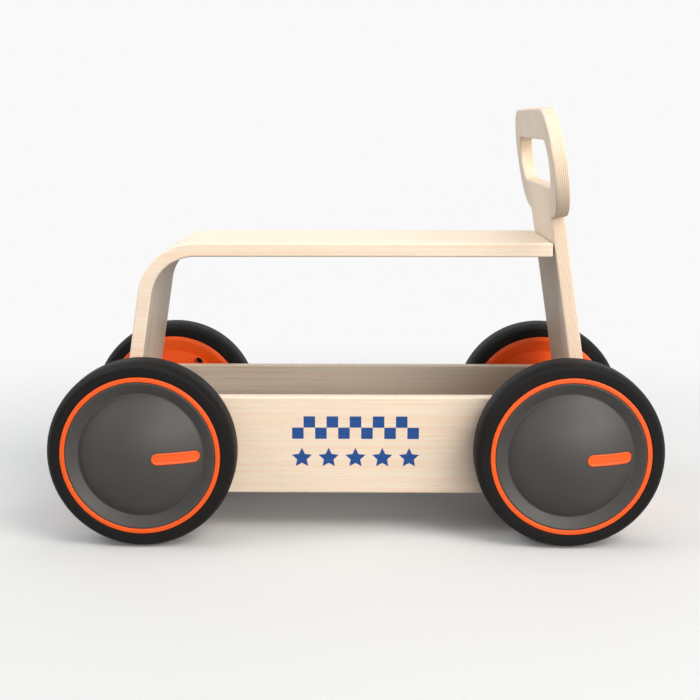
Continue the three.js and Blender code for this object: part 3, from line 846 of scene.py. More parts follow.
def build_bent_seat(sheets):
    """Leg, bend and seat: a rounded section carried along the bent sheet."""
    sine, cosine = lean_parts(sheets)
    outer = sheets.bend + sheets.thickness
    bend_z = sheets.seat_top - outer
    bend_x = sheets.bend / cosine - inner_face(sheets, bend_z)
    leg = (bend_z + sheets.bend * sine - SEAT_LOW[2]) / cosine
    middle = sheets.bend + sheets.thickness / 2
    sweep = math.pi / 2 - sheets.lean
    whole = leg + middle * sweep + SEAT_HIGH[0] - bend_x

    def place(run, y, depth):
        past = run - leg
        if past < 0:
            x = bend_x - (outer - depth) * cosine + past * sine
            return x, y, bend_z + (outer - depth) * sine + past * cosine
        if past < middle * sweep:
            turn = math.pi - sheets.lean - past / middle
            return bend_x + (outer - depth) * math.cos(turn), y, bend_z + (outer - depth) * math.sin(turn)
        return bend_x + past - middle * sweep, y, sheets.seat_top - depth

    # stations along the sheet, each with its inset at the rounded ends
    edge = sheets.edge
    turns = [math.pi / 2 * i / 4 for i in range(5)]
    start = [(edge * (1 - math.cos(turn)), edge * (1 - math.sin(turn))) for turn in turns]
    reach = whole - leg - middle * sweep
    stations = list(start)
    stations += [(leg * (0.03 + 0.97 * i / 12), 0.0) for i in range(13)]
    stations += [(leg + middle * sweep * i / 40, 0.0) for i in range(1, 40)]
    stations += [(leg + middle * sweep + reach * 0.98 * i / 12, 0.0) for i in range(13)]
    stations += [(whole - run, inset) for run, inset in reversed(start)]
    build = bmesh.new()
    rows = []
    for run, inset in stations:
        half = sheets.seat_width / 2 - inset
        under = sheets.thickness - inset
        round_edge = max(edge - inset, 0.1 * edge)
        corners = [(-half, inset), (half, inset), (half, under), (-half, under)]
        section = rounded([(y, depth, round_edge) for y, depth in corners])
        rows.append([build.verts.new(place(run, point.x, point.y)) for point in section])
    bridge(build, rows)
    build.faces.new(rows[0])
    build.faces.new(rows[-1])
    mesh = mesh_from("bent_seat_sheet", build)
    smooth_below(mesh, 40)

    def grain(spot, normal):
        if abs(normal.y) > FACING:
            return spot.x, spot.z, 0.0
        x = spot.x - bend_x
        z = spot.z - bend_z
        turn = math.atan2(x, z)
        if x > 0:
            return x, spot.y, 0.0
        if turn > -sweep:
            return middle * turn, spot.y, 0.0
        return x * sine + z * cosine - middle * sweep, spot.y, 0.0

    # the faces under the seat (the leg's inner face, the inside of the bend and the seat's underside) take
    # the painted shade
    def inner(normal):
        return 1.0 if normal.x - normal.z > 0.75 else 0.0

    return lay_grain(even_normals(link("bent_seat_sheet", mesh)), grain, inner)


def build_handle_post(sheets, fittings):
    """Post and loop handle in one leaning sheet, with the finger slot and the bolts' holes."""
    sine, cosine = lean_parts(sheets)
    half = sheets.seat_width / 2
    end_radius = sheets.loop_height / 2
    loop_middle = sheets.handle_reach - end_radius
    loop_bottom = sheets.handle_reach - sheets.loop_height
    end_centre = half + sheets.loop_overhang - end_radius
    foot = BOARD_LOW[2] / cosine
    corner = sheets.inner_corner
    neck = rounded([
        (-half, foot, sheets.corner),
        (half, foot, sheets.corner),
        (half, loop_bottom, corner),
        (end_centre, loop_bottom, 0),
        (-end_centre, loop_bottom, 0),
        (-half, loop_bottom, corner),
    ])
    loop_start = Vector((end_centre, loop_bottom))
    left = next(i for i, point in enumerate(neck) if (point - loop_start).length < 1e-7)
    outline = neck[:left]
    outline += arc(end_centre, loop_middle, end_radius, -90, 90, 40)
    outline += arc(-end_centre, loop_middle, end_radius, 90, 270, 40)
    outline += neck[left + 2:]
    slot_radius = end_radius - sheets.grip
    slot = arc(end_centre, loop_middle, slot_radius, -90, 90, 32)
    slot += arc(-end_centre, loop_middle, slot_radius, 90, 270, 32)
    slot.reverse()
    rings = edge_rings(sheets.thickness, sheets.edge)
    loops = [(outline, rings, 0.0), (slot, rings, 0.0)]
    level = (sheets.seat_top - sheets.thickness / 2) / cosine
    sink = sheets.thickness - fittings.bolt_sink
    head_hole = fittings.bolt_head + fittings.fit
    step = fittings.bolt_hole - head_hole
    bore = [(step, 0.0), (step, sink), (0.0, sink), (0.0, sheets.thickness - fittings.fit)]
    bore.append((fittings.fit, sheets.thickness))
    for row in (-0.5, 0.5):
        loops.append((hole(row * fittings.bolt_spacing, level, head_hole, 48), bore, -math.tan(sheets.lean)))

    def place(y, run, depth):
        return sheets.foot - run * sine + depth * cosine, y, run * cosine + depth * sine

    def grain(spot, normal):
        run = spot.z * cosine - (spot.x - sheets.foot) * sine
        depth = (spot.x - sheets.foot) * cosine + spot.z * sine
        return run, spot.y, depth

    # the post's inner face, in shade below the seat, takes half the painted shade, and the handle's face
    # above it does too
    def inner(normal):
        return 0.5 if normal.x < -FACING else 0.0

    return sheet("handle_post_sheet", loops, place, grain, inner)


def build_side_board(side, sheets, fittings):
    """Side board with its bush holes and countersunk screw holes."""
    facing = SIDES[side]
    slant = sheets.thickness / math.cos(sheets.lean)
    corners = []
    for end, z in ((-1, BOARD_LOW[2]), (1, BOARD_LOW[2]), (1, BOARD_HIGH[2]), (-1, BOARD_HIGH[2])):
        corners.append((end * (inner_face(sheets, z) + slant), z, sheets.corner))
    rings = edge_rings(sheets.thickness, sheets.edge)
    loops = [(rounded(corners), rings, 0.0)]
    bush = fittings.axle + fittings.bush_wall + fittings.fit
    through = [(0.0, 0.0), (0.0, sheets.thickness)]
    flare = fittings.screw_head - fittings.screw_shank
    countersink = [(0.0, 0.0), (0.0, sheets.thickness - fittings.screw_drop), (flare, sheets.thickness)]
    for end in (-1, 1):
        loops.append((hole(end * AXLE_X, AXLE_HEIGHT, bush, 48), through, 0.0))
        for z in screw_heights():
            screw = hole(end * screw_x(sheets, z), z, fittings.screw_shank + fittings.fit, 32)
            loops.append((screw, countersink, 0.0))

    def place(x, z, depth):
        return x, facing * (BOARD_LOW[1] + depth), z

    def grain(spot, normal):
        if abs(normal.z) > FACING:
            return spot.y, spot.x, 0.0
        if abs(normal.y) > FACING:
            return spot.x + 0.7 * facing, spot.z, 0.0
        return spot.z, spot.x, abs(spot.y) - BOARD_LOW[1]

    # the board's inner face, in shade inside the tray, takes the painted shade
    def inner(normal):
        return 1.0 if facing * normal.y < -FACING else 0.0

    return sheet(f"side_board_{side}_sheet", loops, place, grain, inner)


def build_floor_panel(sheets):
    """Floor between the leg, the post and the side boards' grooves."""
    reach = min(abs(FLOOR_LOW[0]), FLOOR_HIGH[0])
    half = (FLOOR_HIGH[1] - FLOOR_LOW[1]) / 2
    corners = [(-reach, -half), (reach, -half), (reach, half), (-reach, half)]
    outline = rounded([(x, y, sheets.panel_corner) for x, y in corners])
    thickness = FLOOR_HIGH[2] - FLOOR_LOW[2]

    def place(x, y, depth):
        return x, y, FLOOR_LOW[2] + depth

    def grain(spot, normal):
        return spot.x + 1.9, spot.y, spot.z - FLOOR_LOW[2]

    rings = edge_rings(thickness, sheets.panel_edge, 2)
    return sheet("floor_panel_sheet", [(outline, rings, 0.0)], place, grain)


# Wheel pieces, drawn with the outer face towards +Y


def wheel_matrix(place):
    """Takes a wheel from its drawing to its corner of the car."""
    end, side = place.split("_")
    turn = Matrix.Rotation(math.pi, 4, "Y" if side == "left" else "Z")
    return Matrix.Translation((ENDS[end] * AXLE_X, SIDES[side] * WHEEL_Y, AXLE_HEIGHT)) @ turn


def wheel_parts(wheels):
    """Radii and levels that the wheel's pieces share."""
    half = wheels.width / 2
    cap = wheels.rim - wheels.lip_width
    dome = cap - wheels.dish_width
    return {
        "half": half,
        "bead": wheels.rim - wheels.tyre_seat,
        "cap": cap,
        "dome": dome,
        "web": wheels.dish_depth - half,
        "edge": half - wheels.dish_depth,
        "pitch": dome - wheels.well_edge,
    }


def dome_level(wheels, radius):
    parts = wheel_parts(wheels)
    return parts["edge"] + wheels.dome * (1 - (radius / parts["dome"]) ** 2)


def build_tyre(wheels):
    parts = wheel_parts(wheels)
    half = parts["half"]
    seat = wheels.rim + wheels.seam
    bead = parts["bead"] + wheels.seam
    edge = wheels.rim + wheels.sidewall
    lip = half - wheels.lip - wheels.seam
    crown = []
    steps = 24
    for i in range(1, 2 * steps):
        place = i / steps - 1
        crown.append((edge + wheels.crown * (1 - place ** 4), place * half, 0.0))
    outline = rounded([
        (seat, -half, wheels.bead_edge),
        (edge, -half, wheels.shoulder),
        *crown,
        (edge, half, wheels.shoulder),
        (seat, half, wheels.bead_edge),
        (seat, lip, 0.0),
        (bead, lip, 0.0),
        (bead, -lip, 0.0),
        (seat, -lip, 0.0),
    ])
    return turned("tyre", outline, 176)


def well_places(wheels):
    """Middles of the screw wells in the wheel's plane."""
    pitch = wheel_parts(wheels)["pitch"]
    turns = [2 * math.pi * i / wheels.wells for i in range(wheels.wells)]
    return [(pitch * math.cos(turn), -pitch * math.sin(turn)) for turn in turns]


def build_rim(wheels):
    """Moulded rim: two lips, a dished web on a hub with a raised collar, and screw wells."""
    parts = wheel_parts(wheels)
    half = parts["half"]
    lip = half - wheels.lip
    web = parts["web"]
    outer_web = web + wheels.wall
    drum = parts["bead"] - wheels.wall
    seat = half - wheels.dish_depth - wheels.seam
    drum_foot = outer_web - wheels.dish_depth * (drum - parts["dome"]) / wheels.dish_width
    outline = rounded([
        (wheels.bore, wheels.hub_inner, wheels.seam),
        (wheels.hub, wheels.hub_inner, wheels.hub_edge),
        (wheels.hub, web, wheels.hub_fillet),
        (parts["dome"], web, wheels.dish_fillet),
        (parts["cap"], -half, wheels.dish_edge),
        (wheels.rim, -half, wheels.lip_edge),
        (wheels.rim, -lip, wheels.lip_back),
        (parts["bead"], -lip, 0.0),
        (parts["bead"], lip, 0.0),
        (wheels.rim, lip, wheels.lip_back),
        (wheels.rim, half, wheels.lip_edge),
        (parts["cap"], half, wheels.mouth_edge),
        (parts["cap"], seat, 0.0),
        (drum, seat, 0.0),
        (drum, drum_foot, 0.0),
        (parts["dome"], outer_web, 0.0),
        (wheels.hub, outer_web, 0.0),
        (wheels.hub, 0.0, 0.0),
        (wheels.bore, 0.0, 0.0),
    ])
    rim = turned("rim", outline, 160)
    for x, z in well_places(wheels):
        outline = circle(x, z, wheels.well, 40)
        cut(rim, cutter("well tool", outline, web - 0.002, web + wheels.well_depth))
    smooth_below(rim.data, 32)
    return rim


def well_cup(wheels, x, z):
    """Closed end and wall of one screw well, behind the web."""
    web = wheel_parts(wheels)["web"]
    overlap = 0.0001
    start = web + 0.0006
    inside = web + wheels.well_depth - 2 * overlap
    end = web + wheels.well_depth + wheels.well_floor
    inner = wheels.well + overlap
    outer = inner + wheels.well_wall
    outline = rounded([
        (0.0, inside, 0.0),
        (inner, inside, 0.0004),
        (inner, start, 0.0),
        (outer, start, 0.0),
        (outer, end, 0.0),
        (0.0, end, 0.0),
    ], 2)
    cup = turned("well cup", outline, 32)
    cup.data.transform(Matrix.Translation((x, 0.0, z)))
    return cup


def join(name, pieces):
    """One mesh out of several pieces, which are removed."""
    build = bmesh.new()
    for piece in pieces:
        build.from_mesh(piece.data)
        bpy.data.objects.remove(piece)
    return link(name, mesh_from(name, build))


def pill_outline(wheels, grow):
    """Outline of the inlay in the wheel's plane, evenly stepped round both ends."""
    end = wheel_parts(wheels)["dome"] - wheels.pill_inset
    reach = (end - wheels.pill_start - wheels.pill_width) / 2
    radius = wheels.pill_width / 2 + grow
    points = arc(reach, 0.0, radius, -90, 90, 24)
    points += [Vector((reach * (1 - 2 * i / 24), radius)) for i in range(1, 24)]
    points += arc(-reach, 0.0, radius, 90, 270, 24)
    points += [Vector((reach * (2 * i / 24 - 1), -radius)) for i in range(1, 24)]
    centre = Vector((-(wheels.pill_start + end) / 2, 0.0))
    return [centre + point for point in points]


def build_hub_cap(wheels):
    """Hub cap: a skirt in the rim's mouth, a conical dish and a dome with the inlay's window."""
    parts = wheel_parts(wheels)
    half = parts["half"]
    skirt = parts["cap"] - wheels.seam
    wall = wheels.cap_wall
    steps = 36
    dome = []
    for i in range(1, steps + 1):
        radius = parts["dome"] * (1 - i / steps)
        dome.append((radius, dome_level(wheels, radius)))
    outline = rounded([
        (skirt - wall, parts["edge"], 0.0),
        (skirt, parts["edge"], 0.0),
        (skirt, half, wheels.mouth_edge),
        (skirt - wheels.cap_rim, half, 0.0005),
        (parts["dome"], parts["edge"], wheels.cap_fillet),
        *[(radius, level, 0.0) for radius, level in dome],
        *[(radius, level - wall, 0.0) for radius, level in reversed(dome)],
        (parts["dome"], parts["edge"] - wall, 0.0),
    ])
    cap = turned("hub cap", outline, 160)
    cut(cap, cutter("window tool", pill_outline(wheels, wheels.pill_gap), -half, 3 * half))
    smooth_below(cap.data, 32)
    return cap


def build_inlay(wheels):
    """Plain inlay that follows the dome, with softened edges and a shallow sunk panel."""
    top = wheels.pill_proud
    sunk = top - wheels.pill_panel
    # inset from the outline, and level above the dome
    rings = [
        (0.0, -wheels.pill_depth),
        (0.0, top - 0.0006),
        (0.00008, top - 0.0003),
        (0.0003, top - 0.00008),
        (0.0006, top),
        (0.0013, top),
        (0.0015, top - 0.00006),
        (0.0018, top - 0.00028),
        (0.0020, sunk),
        (0.0030, sunk),
        (0.0040, sunk),
        (0.9999 * wheels.pill_width / 2, sunk),
    ]
    build = bmesh.new()
    rows = []
    for inset, level in rings:
        rows.append([
            build.verts.new((point.x, dome_level(wheels, point.length) + level, point.y))
            for point in pill_outline(wheels, -inset)
        ])
    bridge(build, rows)
    build.faces.new(rows[0])
    bmesh.ops.remove_doubles(build, verts=build.verts, dist=2e-6)
    mesh = mesh_from("inlay", build)
    smooth_below(mesh, 50)
    return link("inlay", mesh)


def copy_to_wheels(drawing, name, material, node):
    """Puts a copy of a drawn wheel piece on each wheel and removes the drawing."""
    for place in PLACES:
        mesh = drawing.data.copy()
        mesh.transform(wheel_matrix(place))
        finish_piece(link(f"{name}_{place}", mesh), f"wheel_{place}", material, [f"{node}_{place}"])
    bpy.data.objects.remove(drawing)


# Fittings


def turned_fitting(name, corners, end, side="left"):
    """A turned fitting on an axle, drawn from the middle of the car to the left."""
    piece = turned(name, rounded(corners, 3), 64)
    turn = Matrix.Rotation(0.0 if side == "left" else math.pi, 4, "Z")
    piece.data.transform(Matrix.Translation((ENDS[end] * AXLE_X, 0.0, AXLE_HEIGHT)) @ turn)
    return piece


def build_axle(end, fittings):
    reach = fittings.axle_end
    return turned_fitting(f"axle_rod_{end}", [
        (0.0, -reach, 0.0),
        (fittings.axle, -reach, 0.0006),
        (fittings.axle, reach, 0.0006),
        (0.0, reach, 0.0),
    ], end)


def build_bush(end, side, fittings):
    """Flanged bush in a side board."""
    bore = fittings.axle + fittings.axle_gap
    sleeve = fittings.axle + fittings.bush_wall
    flange = sleeve + fittings.bush_flange
    start = BOARD_HIGH[1] + fittings.fit
    face = start + fittings.bush_face
    return turned_fitting(f"bush_{end}_{side}", [
        (bore, BOARD_LOW[1], 0.0),
        (sleeve, BOARD_LOW[1], 0.0),
        (sleeve, start, 0.0),
        (flange, start, 0.0004),
        (flange, face, 0.0012),
        (bore, face, 0.0004),
    ], end, side)


def build_washer(end, side, fittings):
    """Washer against the outer end of a wheel's hub."""
    bore = fittings.axle + fittings.axle_gap
    rim = bore + fittings.washer_width
    start = WHEEL_Y + fittings.fit
    face = start + fittings.washer
    return turned_fitting(f"washer_{end}_{side}", [
        (bore, start, 0.0002),
        (rim, start, 0.0003),
        (rim, face, 0.0003),
        (bore, face, 0.0002),
    ], end, side)


def build_push_cap(end, side, fittings):
    """Cap pushed on an axle's end, over the washer."""
    bore = fittings.axle + fittings.axle_gap
    outer = fittings.axle + fittings.push_cap_wall
    start = WHEEL_Y + fittings.washer + 2 * fittings.fit
    inside = start + fittings.push_cap_depth
    crown = inside + fittings.push_cap_crown
    return turned_fitting(f"push_cap_{end}_{side}", [
        (bore, start, 0.0),
        (outer, start, 0.0004),
        (outer, inside, 0.0012),
        (fittings.axle, crown, 0.0012),
        (0.0, crown, 0.0),
        (0.0, inside, 0.0),
        (bore, inside, 0.0),
    ], end, side)


# Screws and bolts


def recessed_head(name, corners, socket_radius, socket_depth, points):
    """A screw or bolt along Y with its head's face at y = 0 and a socket that has points round it."""
    screw = turned(name, rounded(corners, 3), 48)
    waist = 0.8 if points > 3 else 0.866
    outline = []
    for i in range(points * 2):
        radius = socket_radius * (waist if i % 2 else 1.0)
        turn = math.pi * i / points
        outline.append(Vector((radius * math.cos(turn), radius * math.sin(turn))))
    cut(screw, cutter("socket tool", outline, -socket_depth, 0.01))
    smooth_below(screw.data, 35)
    return screw


def end_tree(tree, geometry, material, result):
    """Makes a tree's instances real and gives them their material."""
    real = put(tree, "GeometryNodeRealizeInstances", {0: geometry})
    dressed = put(tree, "GeometryNodeSetMaterial", {"Geometry": real.outputs[0], "Material": material})
    tree.links.new(dressed.outputs[0], result.inputs["Geometry"])


def joined(tree, *parts):
    """Several geometries in one."""
    node = put(tree, "GeometryNodeJoinGeometry")
    for part in parts:
        tree.links.new(part, node.inputs[0])
    return node.outputs[0]


def place_tree():
    """Geometry nodes that stand a fitting on each point, facing along the point's own direction."""
    tree, given, result = new_group(
        "fittings on points",
        {"Points": "Geometry", "Fitting": "Object", "Turn seed": "Int", "Finish": "Material"},
        {"Geometry": "Geometry"},
        "GeometryNodeTree",
    )
    facing = put(tree, "GeometryNodeInputNamedAttribute", {"Name": "facing"}, data_type="FLOAT_VECTOR")
    way = facing.outputs["Attribute"]
    aligned = put(tree, "FunctionNodeAlignRotationToVector", {"Vector": way}, axis="Y")
    chance = put(tree, "FunctionNodeRandomValue", {
        0: (0.0, 0.0, 0.0), 1: (0.0, 2 * math.pi, 0.0), "Seed": given.outputs["Turn seed"],
    }, data_type="FLOAT_VECTOR")
    turned_round = put(tree, "FunctionNodeRotateRotation", {
        "Rotation": aligned.outputs[0], "Rotate By": chance.outputs[0],
    }, rotation_space="LOCAL")
    fitting = put(tree, "GeometryNodeObjectInfo", {"Object": given.outputs["Fitting"]})
    placed = put(tree, "GeometryNodeInstanceOnPoints", {
        "Points": given.outputs["Points"],
        "Instance": fitting.outputs["Geometry"],
        "Rotation": turned_round.outputs[0],
    })
    end_tree(tree, placed.outputs[0], given.outputs["Finish"], result)
    return tree


def grown(name, mesh, tree, values):
    """A plain mesh made by a geometry nodes tree, with the tree's inputs set by name."""
    piece = link(name, mesh)
    maker = piece.modifiers.new("maker", "NODES")
    maker.node_group = tree
    for item in tree.interface.items_tree:
        if item.item_type == "SOCKET" and item.in_out == "INPUT" and item.name in values:
            maker[item.identifier] = values[item.name]
    return settle(piece)


def on_points(name, tree, fitting, spots, seed, material):
    """Copies of a fitting at (place, facing) spots, each with its own chance turn."""
    mesh = bpy.data.meshes.new(name)
    mesh.from_pydata([place for place, _ in spots], [], [])
    facing = mesh.attributes.new("facing", "FLOAT_VECTOR", "POINT")
    for i, (_, way) in enumerate(spots):
        facing.data[i].vector = way
    piece = grown(name, mesh, tree, {"Fitting": fitting, "Turn seed": seed, "Finish": material})
    if len(piece.data.polygons) < len(spots) * len(fitting.data.polygons):
        raise RuntimeError(f"{name} is missing fittings")
    return piece


def fix_boards(tree, sheets, fittings):
    """Countersunk screws through the side boards into the leg and the post."""
    head = fittings.screw_head
    shank = fittings.screw_shank
    screw = recessed_head("board screw", [
        (0.0, -fittings.screw_length, 0.0),
        (0.6 * shank, 0.002 - fittings.screw_length, 0.0),
        (shank, 0.006 - fittings.screw_length, 0.0),
        (shank, -fittings.screw_drop, 0.0),
        (head, -0.0002, 0.0),
        (head, 0.0, 0.0001),
        (0.0, 0.0, 0.0),
    ], socket_radius=0.0021, socket_depth=0.0016, points=6)
    spots = []
    nodes = []
    for end, way in ENDS.items():
        for side, facing in SIDES.items():
            for number, z in enumerate(screw_heights(), 1):
                place = (way * screw_x(sheets, z), facing * BOARD_HIGH[1], z)
                spots.append((place, (0.0, facing, 0.0)))
                nodes.append(f"board_screw_{end}_{side}_{number}")
    screws = on_points("board_screws", tree, screw, spots, 5, finish_named("plated steel"))
    finish_piece(screws, "chassis", None, nodes)
    bpy.data.objects.remove(screw)


def fix_seat(tree, sheets, fittings):
    """Bolts through the post, and the barrel nuts in the seat that they pull on."""
    plated = finish_named("plated steel")
    level = sheets.seat_top - sheets.thickness / 2
    face = inner_face(sheets, level) + sheets.thickness / math.cos(sheets.lean) - fittings.bolt_drop
    nut_x = SEAT_HIGH[0] - fittings.nut_reach
    tip = nut_x - 1.5 * fittings.nut - face
    head = fittings.bolt_head
    shank = fittings.bolt_shank
    bolt = recessed_head("seat bolt", [
        (0.0, tip, 0.0),
        (shank, tip, 0.0005),
        (shank, -fittings.bolt_height, 0.0),
        (head, -fittings.bolt_height, 0.0003),
        (head, -0.45 * fittings.bolt_height, 0.0006),
        (0.82 * head, 0.0, 0.0008),
        (0.0, 0.0, 0.0),
    ], socket_radius=0.0029, socket_depth=0.0016, points=3)
    half = fittings.bolt_spacing / 2
    spots = [((face, y, level), (1.0, 0.0, 0.0)) for y in (-half, half)]
    bolts = on_points("seat_bolts", tree, bolt, spots, 2, plated)
    finish_piece(bolts, "chassis", None, ["seat_bolt_right", "seat_bolt_left"])

    nut = recessed_head("barrel nut", [
        (0.0, -fittings.nut_length, 0.0),
        (fittings.nut, -fittings.nut_length, 0.0004),
        (fittings.nut, fittings.nut_proud, 0.0004),
        (0.0, fittings.nut_proud, 0.0),
    ], socket_radius=0.0016, socket_depth=0.0012, points=2)
    under = sheets.seat_top - sheets.thickness
    spots = [((nut_x, y, under), (0.0, 0.0, -1.0)) for y in (-half, half)]
    nuts = on_points("barrel_nuts", tree, nut, spots, 4, plated)
    finish_piece(nuts, "chassis", None, ["barrel_nut_right", "barrel_nut_left"])
    for drawing in (bolt, nut):
        bpy.data.objects.remove(drawing)


def fix_hub_caps(tree, wheels, fittings):
    """Screws in the wells of each rim, which hold its hub cap from behind."""
    head = fittings.cap_screw_head
    height = fittings.cap_screw_height
    shank = fittings.cap_screw_shank
    screw = recessed_head("cap screw", [
        (0.0, -fittings.cap_screw_length, 0.0),
        (shank, 0.0005 - fittings.cap_screw_length, 0.0004),
        (shank, -height, 0.0),
        (head, -height, 0.0002),
        (head, -0.4 * height, 0.0005),
        (0.6 * head, 0.0, 0.0006),
        (0.0, 0.0, 0.0),
    ], socket_radius=0.0016, socket_depth=0.0011, points=6)
    level = wheel_parts(wheels)["web"] + wheels.well_depth - wheels.seam - height
    for seed, place in enumerate(PLACES, 10):
        matrix = wheel_matrix(place)
        way = matrix.to_3x3() @ Vector((0.0, -1.0, 0.0))
        spots = [(matrix @ Vector((x, level, z)), way) for x, z in well_places(wheels)]
        nodes = [f"cap_screw_{place}_{i + 1}" for i in range(wheels.wells)]
        # the screws' near-black steel is painted shade for the depth of the wells
        screws = on_points(f"cap_screws_{place}", tree, screw, spots, seed, finish_named("blackened steel"))
        finish_piece(screws, f"wheel_{place}", None, nodes)
    bpy.data.objects.remove(screw)


# Print


def band_tree():
    """Geometry nodes for the printed band: two rows of squares set off by one, and a row of stars below."""
    tree, given, result = new_group(
        "printed band",
        {
            "Geometry": "Geometry",
            "Square": "Float",
            "Columns": "Int",
            "Stars": "Int",
            "Star": "Float",
            "Star waist": "Float",
            "Star spacing": "Float",
            "Star drop": "Float",
            "Ink": "Float",
            "Finish": "Material",
        },
        {"Geometry": "Geometry"},
        "GeometryNodeTree",
    )
    square = given.outputs["Square"]
    ink = given.outputs["Ink"]

    def row(items, pitch, level):
        """A row of points along X, centred, at a level."""
        gaps = sums(tree, "SUBTRACT", items, 1.0)
        start_x = sums(tree, "MULTIPLY", sums(tree, "MULTIPLY", gaps, pitch), -0.5)
        start = put(tree, "ShaderNodeCombineXYZ", {0: start_x, 2: level}).outputs[0]
        step = put(tree, "ShaderNodeCombineXYZ", {0: pitch}).outputs[0]
        inputs = {"Count": items, "Start Location": start, "Offset": step}
        return put(tree, "GeometryNodeMeshLine", inputs).outputs[0]

    pitch = sums(tree, "MULTIPLY", square, 2.0)
    fewer = sums(tree, "SUBTRACT", given.outputs["Columns"], 1.0)
    lower = row(given.outputs["Columns"], pitch, sums(tree, "MULTIPLY", square, -0.5))
    upper = row(fewer, pitch, sums(tree, "MULTIPLY", square, 0.5))
    size = put(tree, "ShaderNodeCombineXYZ", {0: square, 1: ink, 2: square}).outputs[0]
    tile = put(tree, "GeometryNodeMeshCube", {"Size": size}).outputs[0]
    spots = joined(tree, upper, lower)
    squares = put(tree, "GeometryNodeInstanceOnPoints", {"Points": spots, "Instance": tile}).outputs[0]

    radius = given.outputs["Star"]
    waist = sums(tree, "MULTIPLY", radius, given.outputs["Star waist"])
    outline = put(tree, "GeometryNodeCurveStar", {"Points": 5, "Inner Radius": waist, "Outer Radius": radius})
    face = put(tree, "GeometryNodeFillCurve", {0: outline.outputs[0]}).outputs[0]
    raised = put(tree, "GeometryNodeExtrudeMesh", {
        "Mesh": face, "Offset Scale": ink, "Individual": False,
    }).outputs[0]
    under = put(tree, "GeometryNodeFlipFaces", {0: face}).outputs[0]
    star = put(tree, "GeometryNodeMergeByDistance", {
        "Geometry": joined(tree, raised, under), "Distance": 1e-7,
    }).outputs[0]
    half_ink = sums(tree, "MULTIPLY", ink, 0.5)
    lift = put(tree, "ShaderNodeCombineXYZ", {1: half_ink}).outputs[0]
    point_up = put(tree, "GeometryNodeTransform", {
        "Geometry": star, "Rotation": (0.0, 0.0, math.pi / 2),
    }).outputs[0]
    upright = put(tree, "GeometryNodeTransform", {
        "Geometry": point_up, "Translation": lift, "Rotation": (math.pi / 2, 0.0, 0.0),
    }).outputs[0]
    drop = sums(tree, "MULTIPLY", given.outputs["Star drop"], -1.0)
    star_row = row(given.outputs["Stars"], given.outputs["Star spacing"], drop)
    stars = put(tree, "GeometryNodeInstanceOnPoints", {"Points": star_row, "Instance": upright}).outputs[0]
    everything = joined(tree, squares, stars)
    end_tree(tree, everything, given.outputs["Finish"], result)
    return tree


# Studio


def lay_floor(studio):
    build = bmesh.new()
    bmesh.ops.create_grid(build, x_segments=8, y_segments=8, size=studio.floor_reach)
    floor = link("studio_floor", mesh_from("studio_floor", build))
    floor.data.materials.append(finish_named("studio floor"))
    return floor


def stand_camera(studio):
    """The photograph's view."""
    lens = bpy.data.cameras.new("camera")
    lens.sensor_width = 36.0
    lens.lens = studio.focal_pixels / IMAGE_SIZE * lens.sensor_width
    camera = link("camera", lens)
    camera.location = studio.camera_place
    camera.rotation_euler = (math.pi / 2 - studio.camera_pitch, 0.0, -studio.camera_yaw)
    bpy.context.scene.camera = camera


def light_world(studio, finish):
    """Even light from all round, with the plain backdrop where the camera sees the world."""
    scene = bpy.context.scene
    scene.world = scene.world or bpy.data.worlds.new("studio")
    scene.world.use_nodes = True
    tree = scene.world.node_tree
    tree.nodes.clear()
    way = put(tree, "ShaderNodeTexCoord").outputs["Generated"]
    height = put(tree, "ShaderNodeSeparateXYZ", {0: way}).outputs[2]
    sky = mixed(tree, ramp(tree, height, 0.0, 1.0), opaque(finish.horizon), opaque(finish.zenith))
    even = put(tree, "ShaderNodeBackground", {"Color": sky, "Strength": studio.world_light})
    backdrop = put(tree, "ShaderNodeBackground", {"Color": opaque(finish.backdrop), "Strength": 1.0})
    blend = put(tree, "ShaderNodeMixShader", {0: seen_ray(tree), 1: even.outputs[0], 2: backdrop.outputs[0]})
    put(tree, "ShaderNodeOutputWorld", {"Surface": blend.outputs[0]})


def hang_panel(name, power, colour):
    """A soft oval panel that looks at a height above the middle of the floor."""
    place, aim_height, width, height = PANELS[name]
    light = bpy.data.lights.new(f"{name} light", "AREA")
    light.shape = "ELLIPSE"
    light.size = width
    light.size_y = height
    light.energy = power
    light.color = colour
    lamp = link(light.name, light)
    lamp.location = place
    aim = Vector((0.0, 0.0, aim_height)) - Vector(place)
    lamp.rotation_euler = aim.to_track_quat("-Z", "Y").to_euler()
    return lamp


# Operators


class TOYCAR_OT_finishes(bpy.types.Operator):
    """Make the materials"""

    bl_idname = "toycar.finishes"
    bl_label = "Finishes"

    def execute(self, context):
        finish = scene_group("toy_finishes")
        handled = handled_group()
        plywood(finish, scene_group("toy_sheets"))
        rubber(finish, handled, scene_group("toy_wheels"))
        smooth = {"roughness": 0.42, "drift": 0.1, "smudge": 0.12, "grain": 2400.0, "bump": 0.06}
        sparked = {"roughness": 0.5, "drift": 0.25, "smudge": 0.16, "grain": 2100.0, "bump": 0.12}
        satin = {"roughness": 0.5, "drift": 0.12, "smudge": 0.15, "grain": 1800.0, "bump": 0.1}
        moulded("orange plastic", finish.orange, handled, **smooth)
        moulded("grey plastic", finish.grey, handled, **sparked)
        moulded("nylon", finish.nylon, handled, **satin)
        steel("plated steel", finish.steel, handled, roughness=0.3)
        # near-black steel: painted shade for the screws deep in the wells
        steel("blackened steel", finish.well_shade_steel, handled, roughness=0.5)
        printed_ink(finish)
        studio_floor(finish, scene_group("toy_studio"))
        return {"FINISHED"}


class TOYCAR_OT_seat(bpy.types.Operator):
    """Build the bent seat"""

    bl_idname = "toycar.seat"
    bl_label = "Bent seat"

    def execute(self, context):
        piece = build_bent_seat(scene_group("toy_sheets"))
        finish_piece(piece, "chassis", finish_named("birch plywood"), ["bent_seat"])
        return {"FINISHED"}


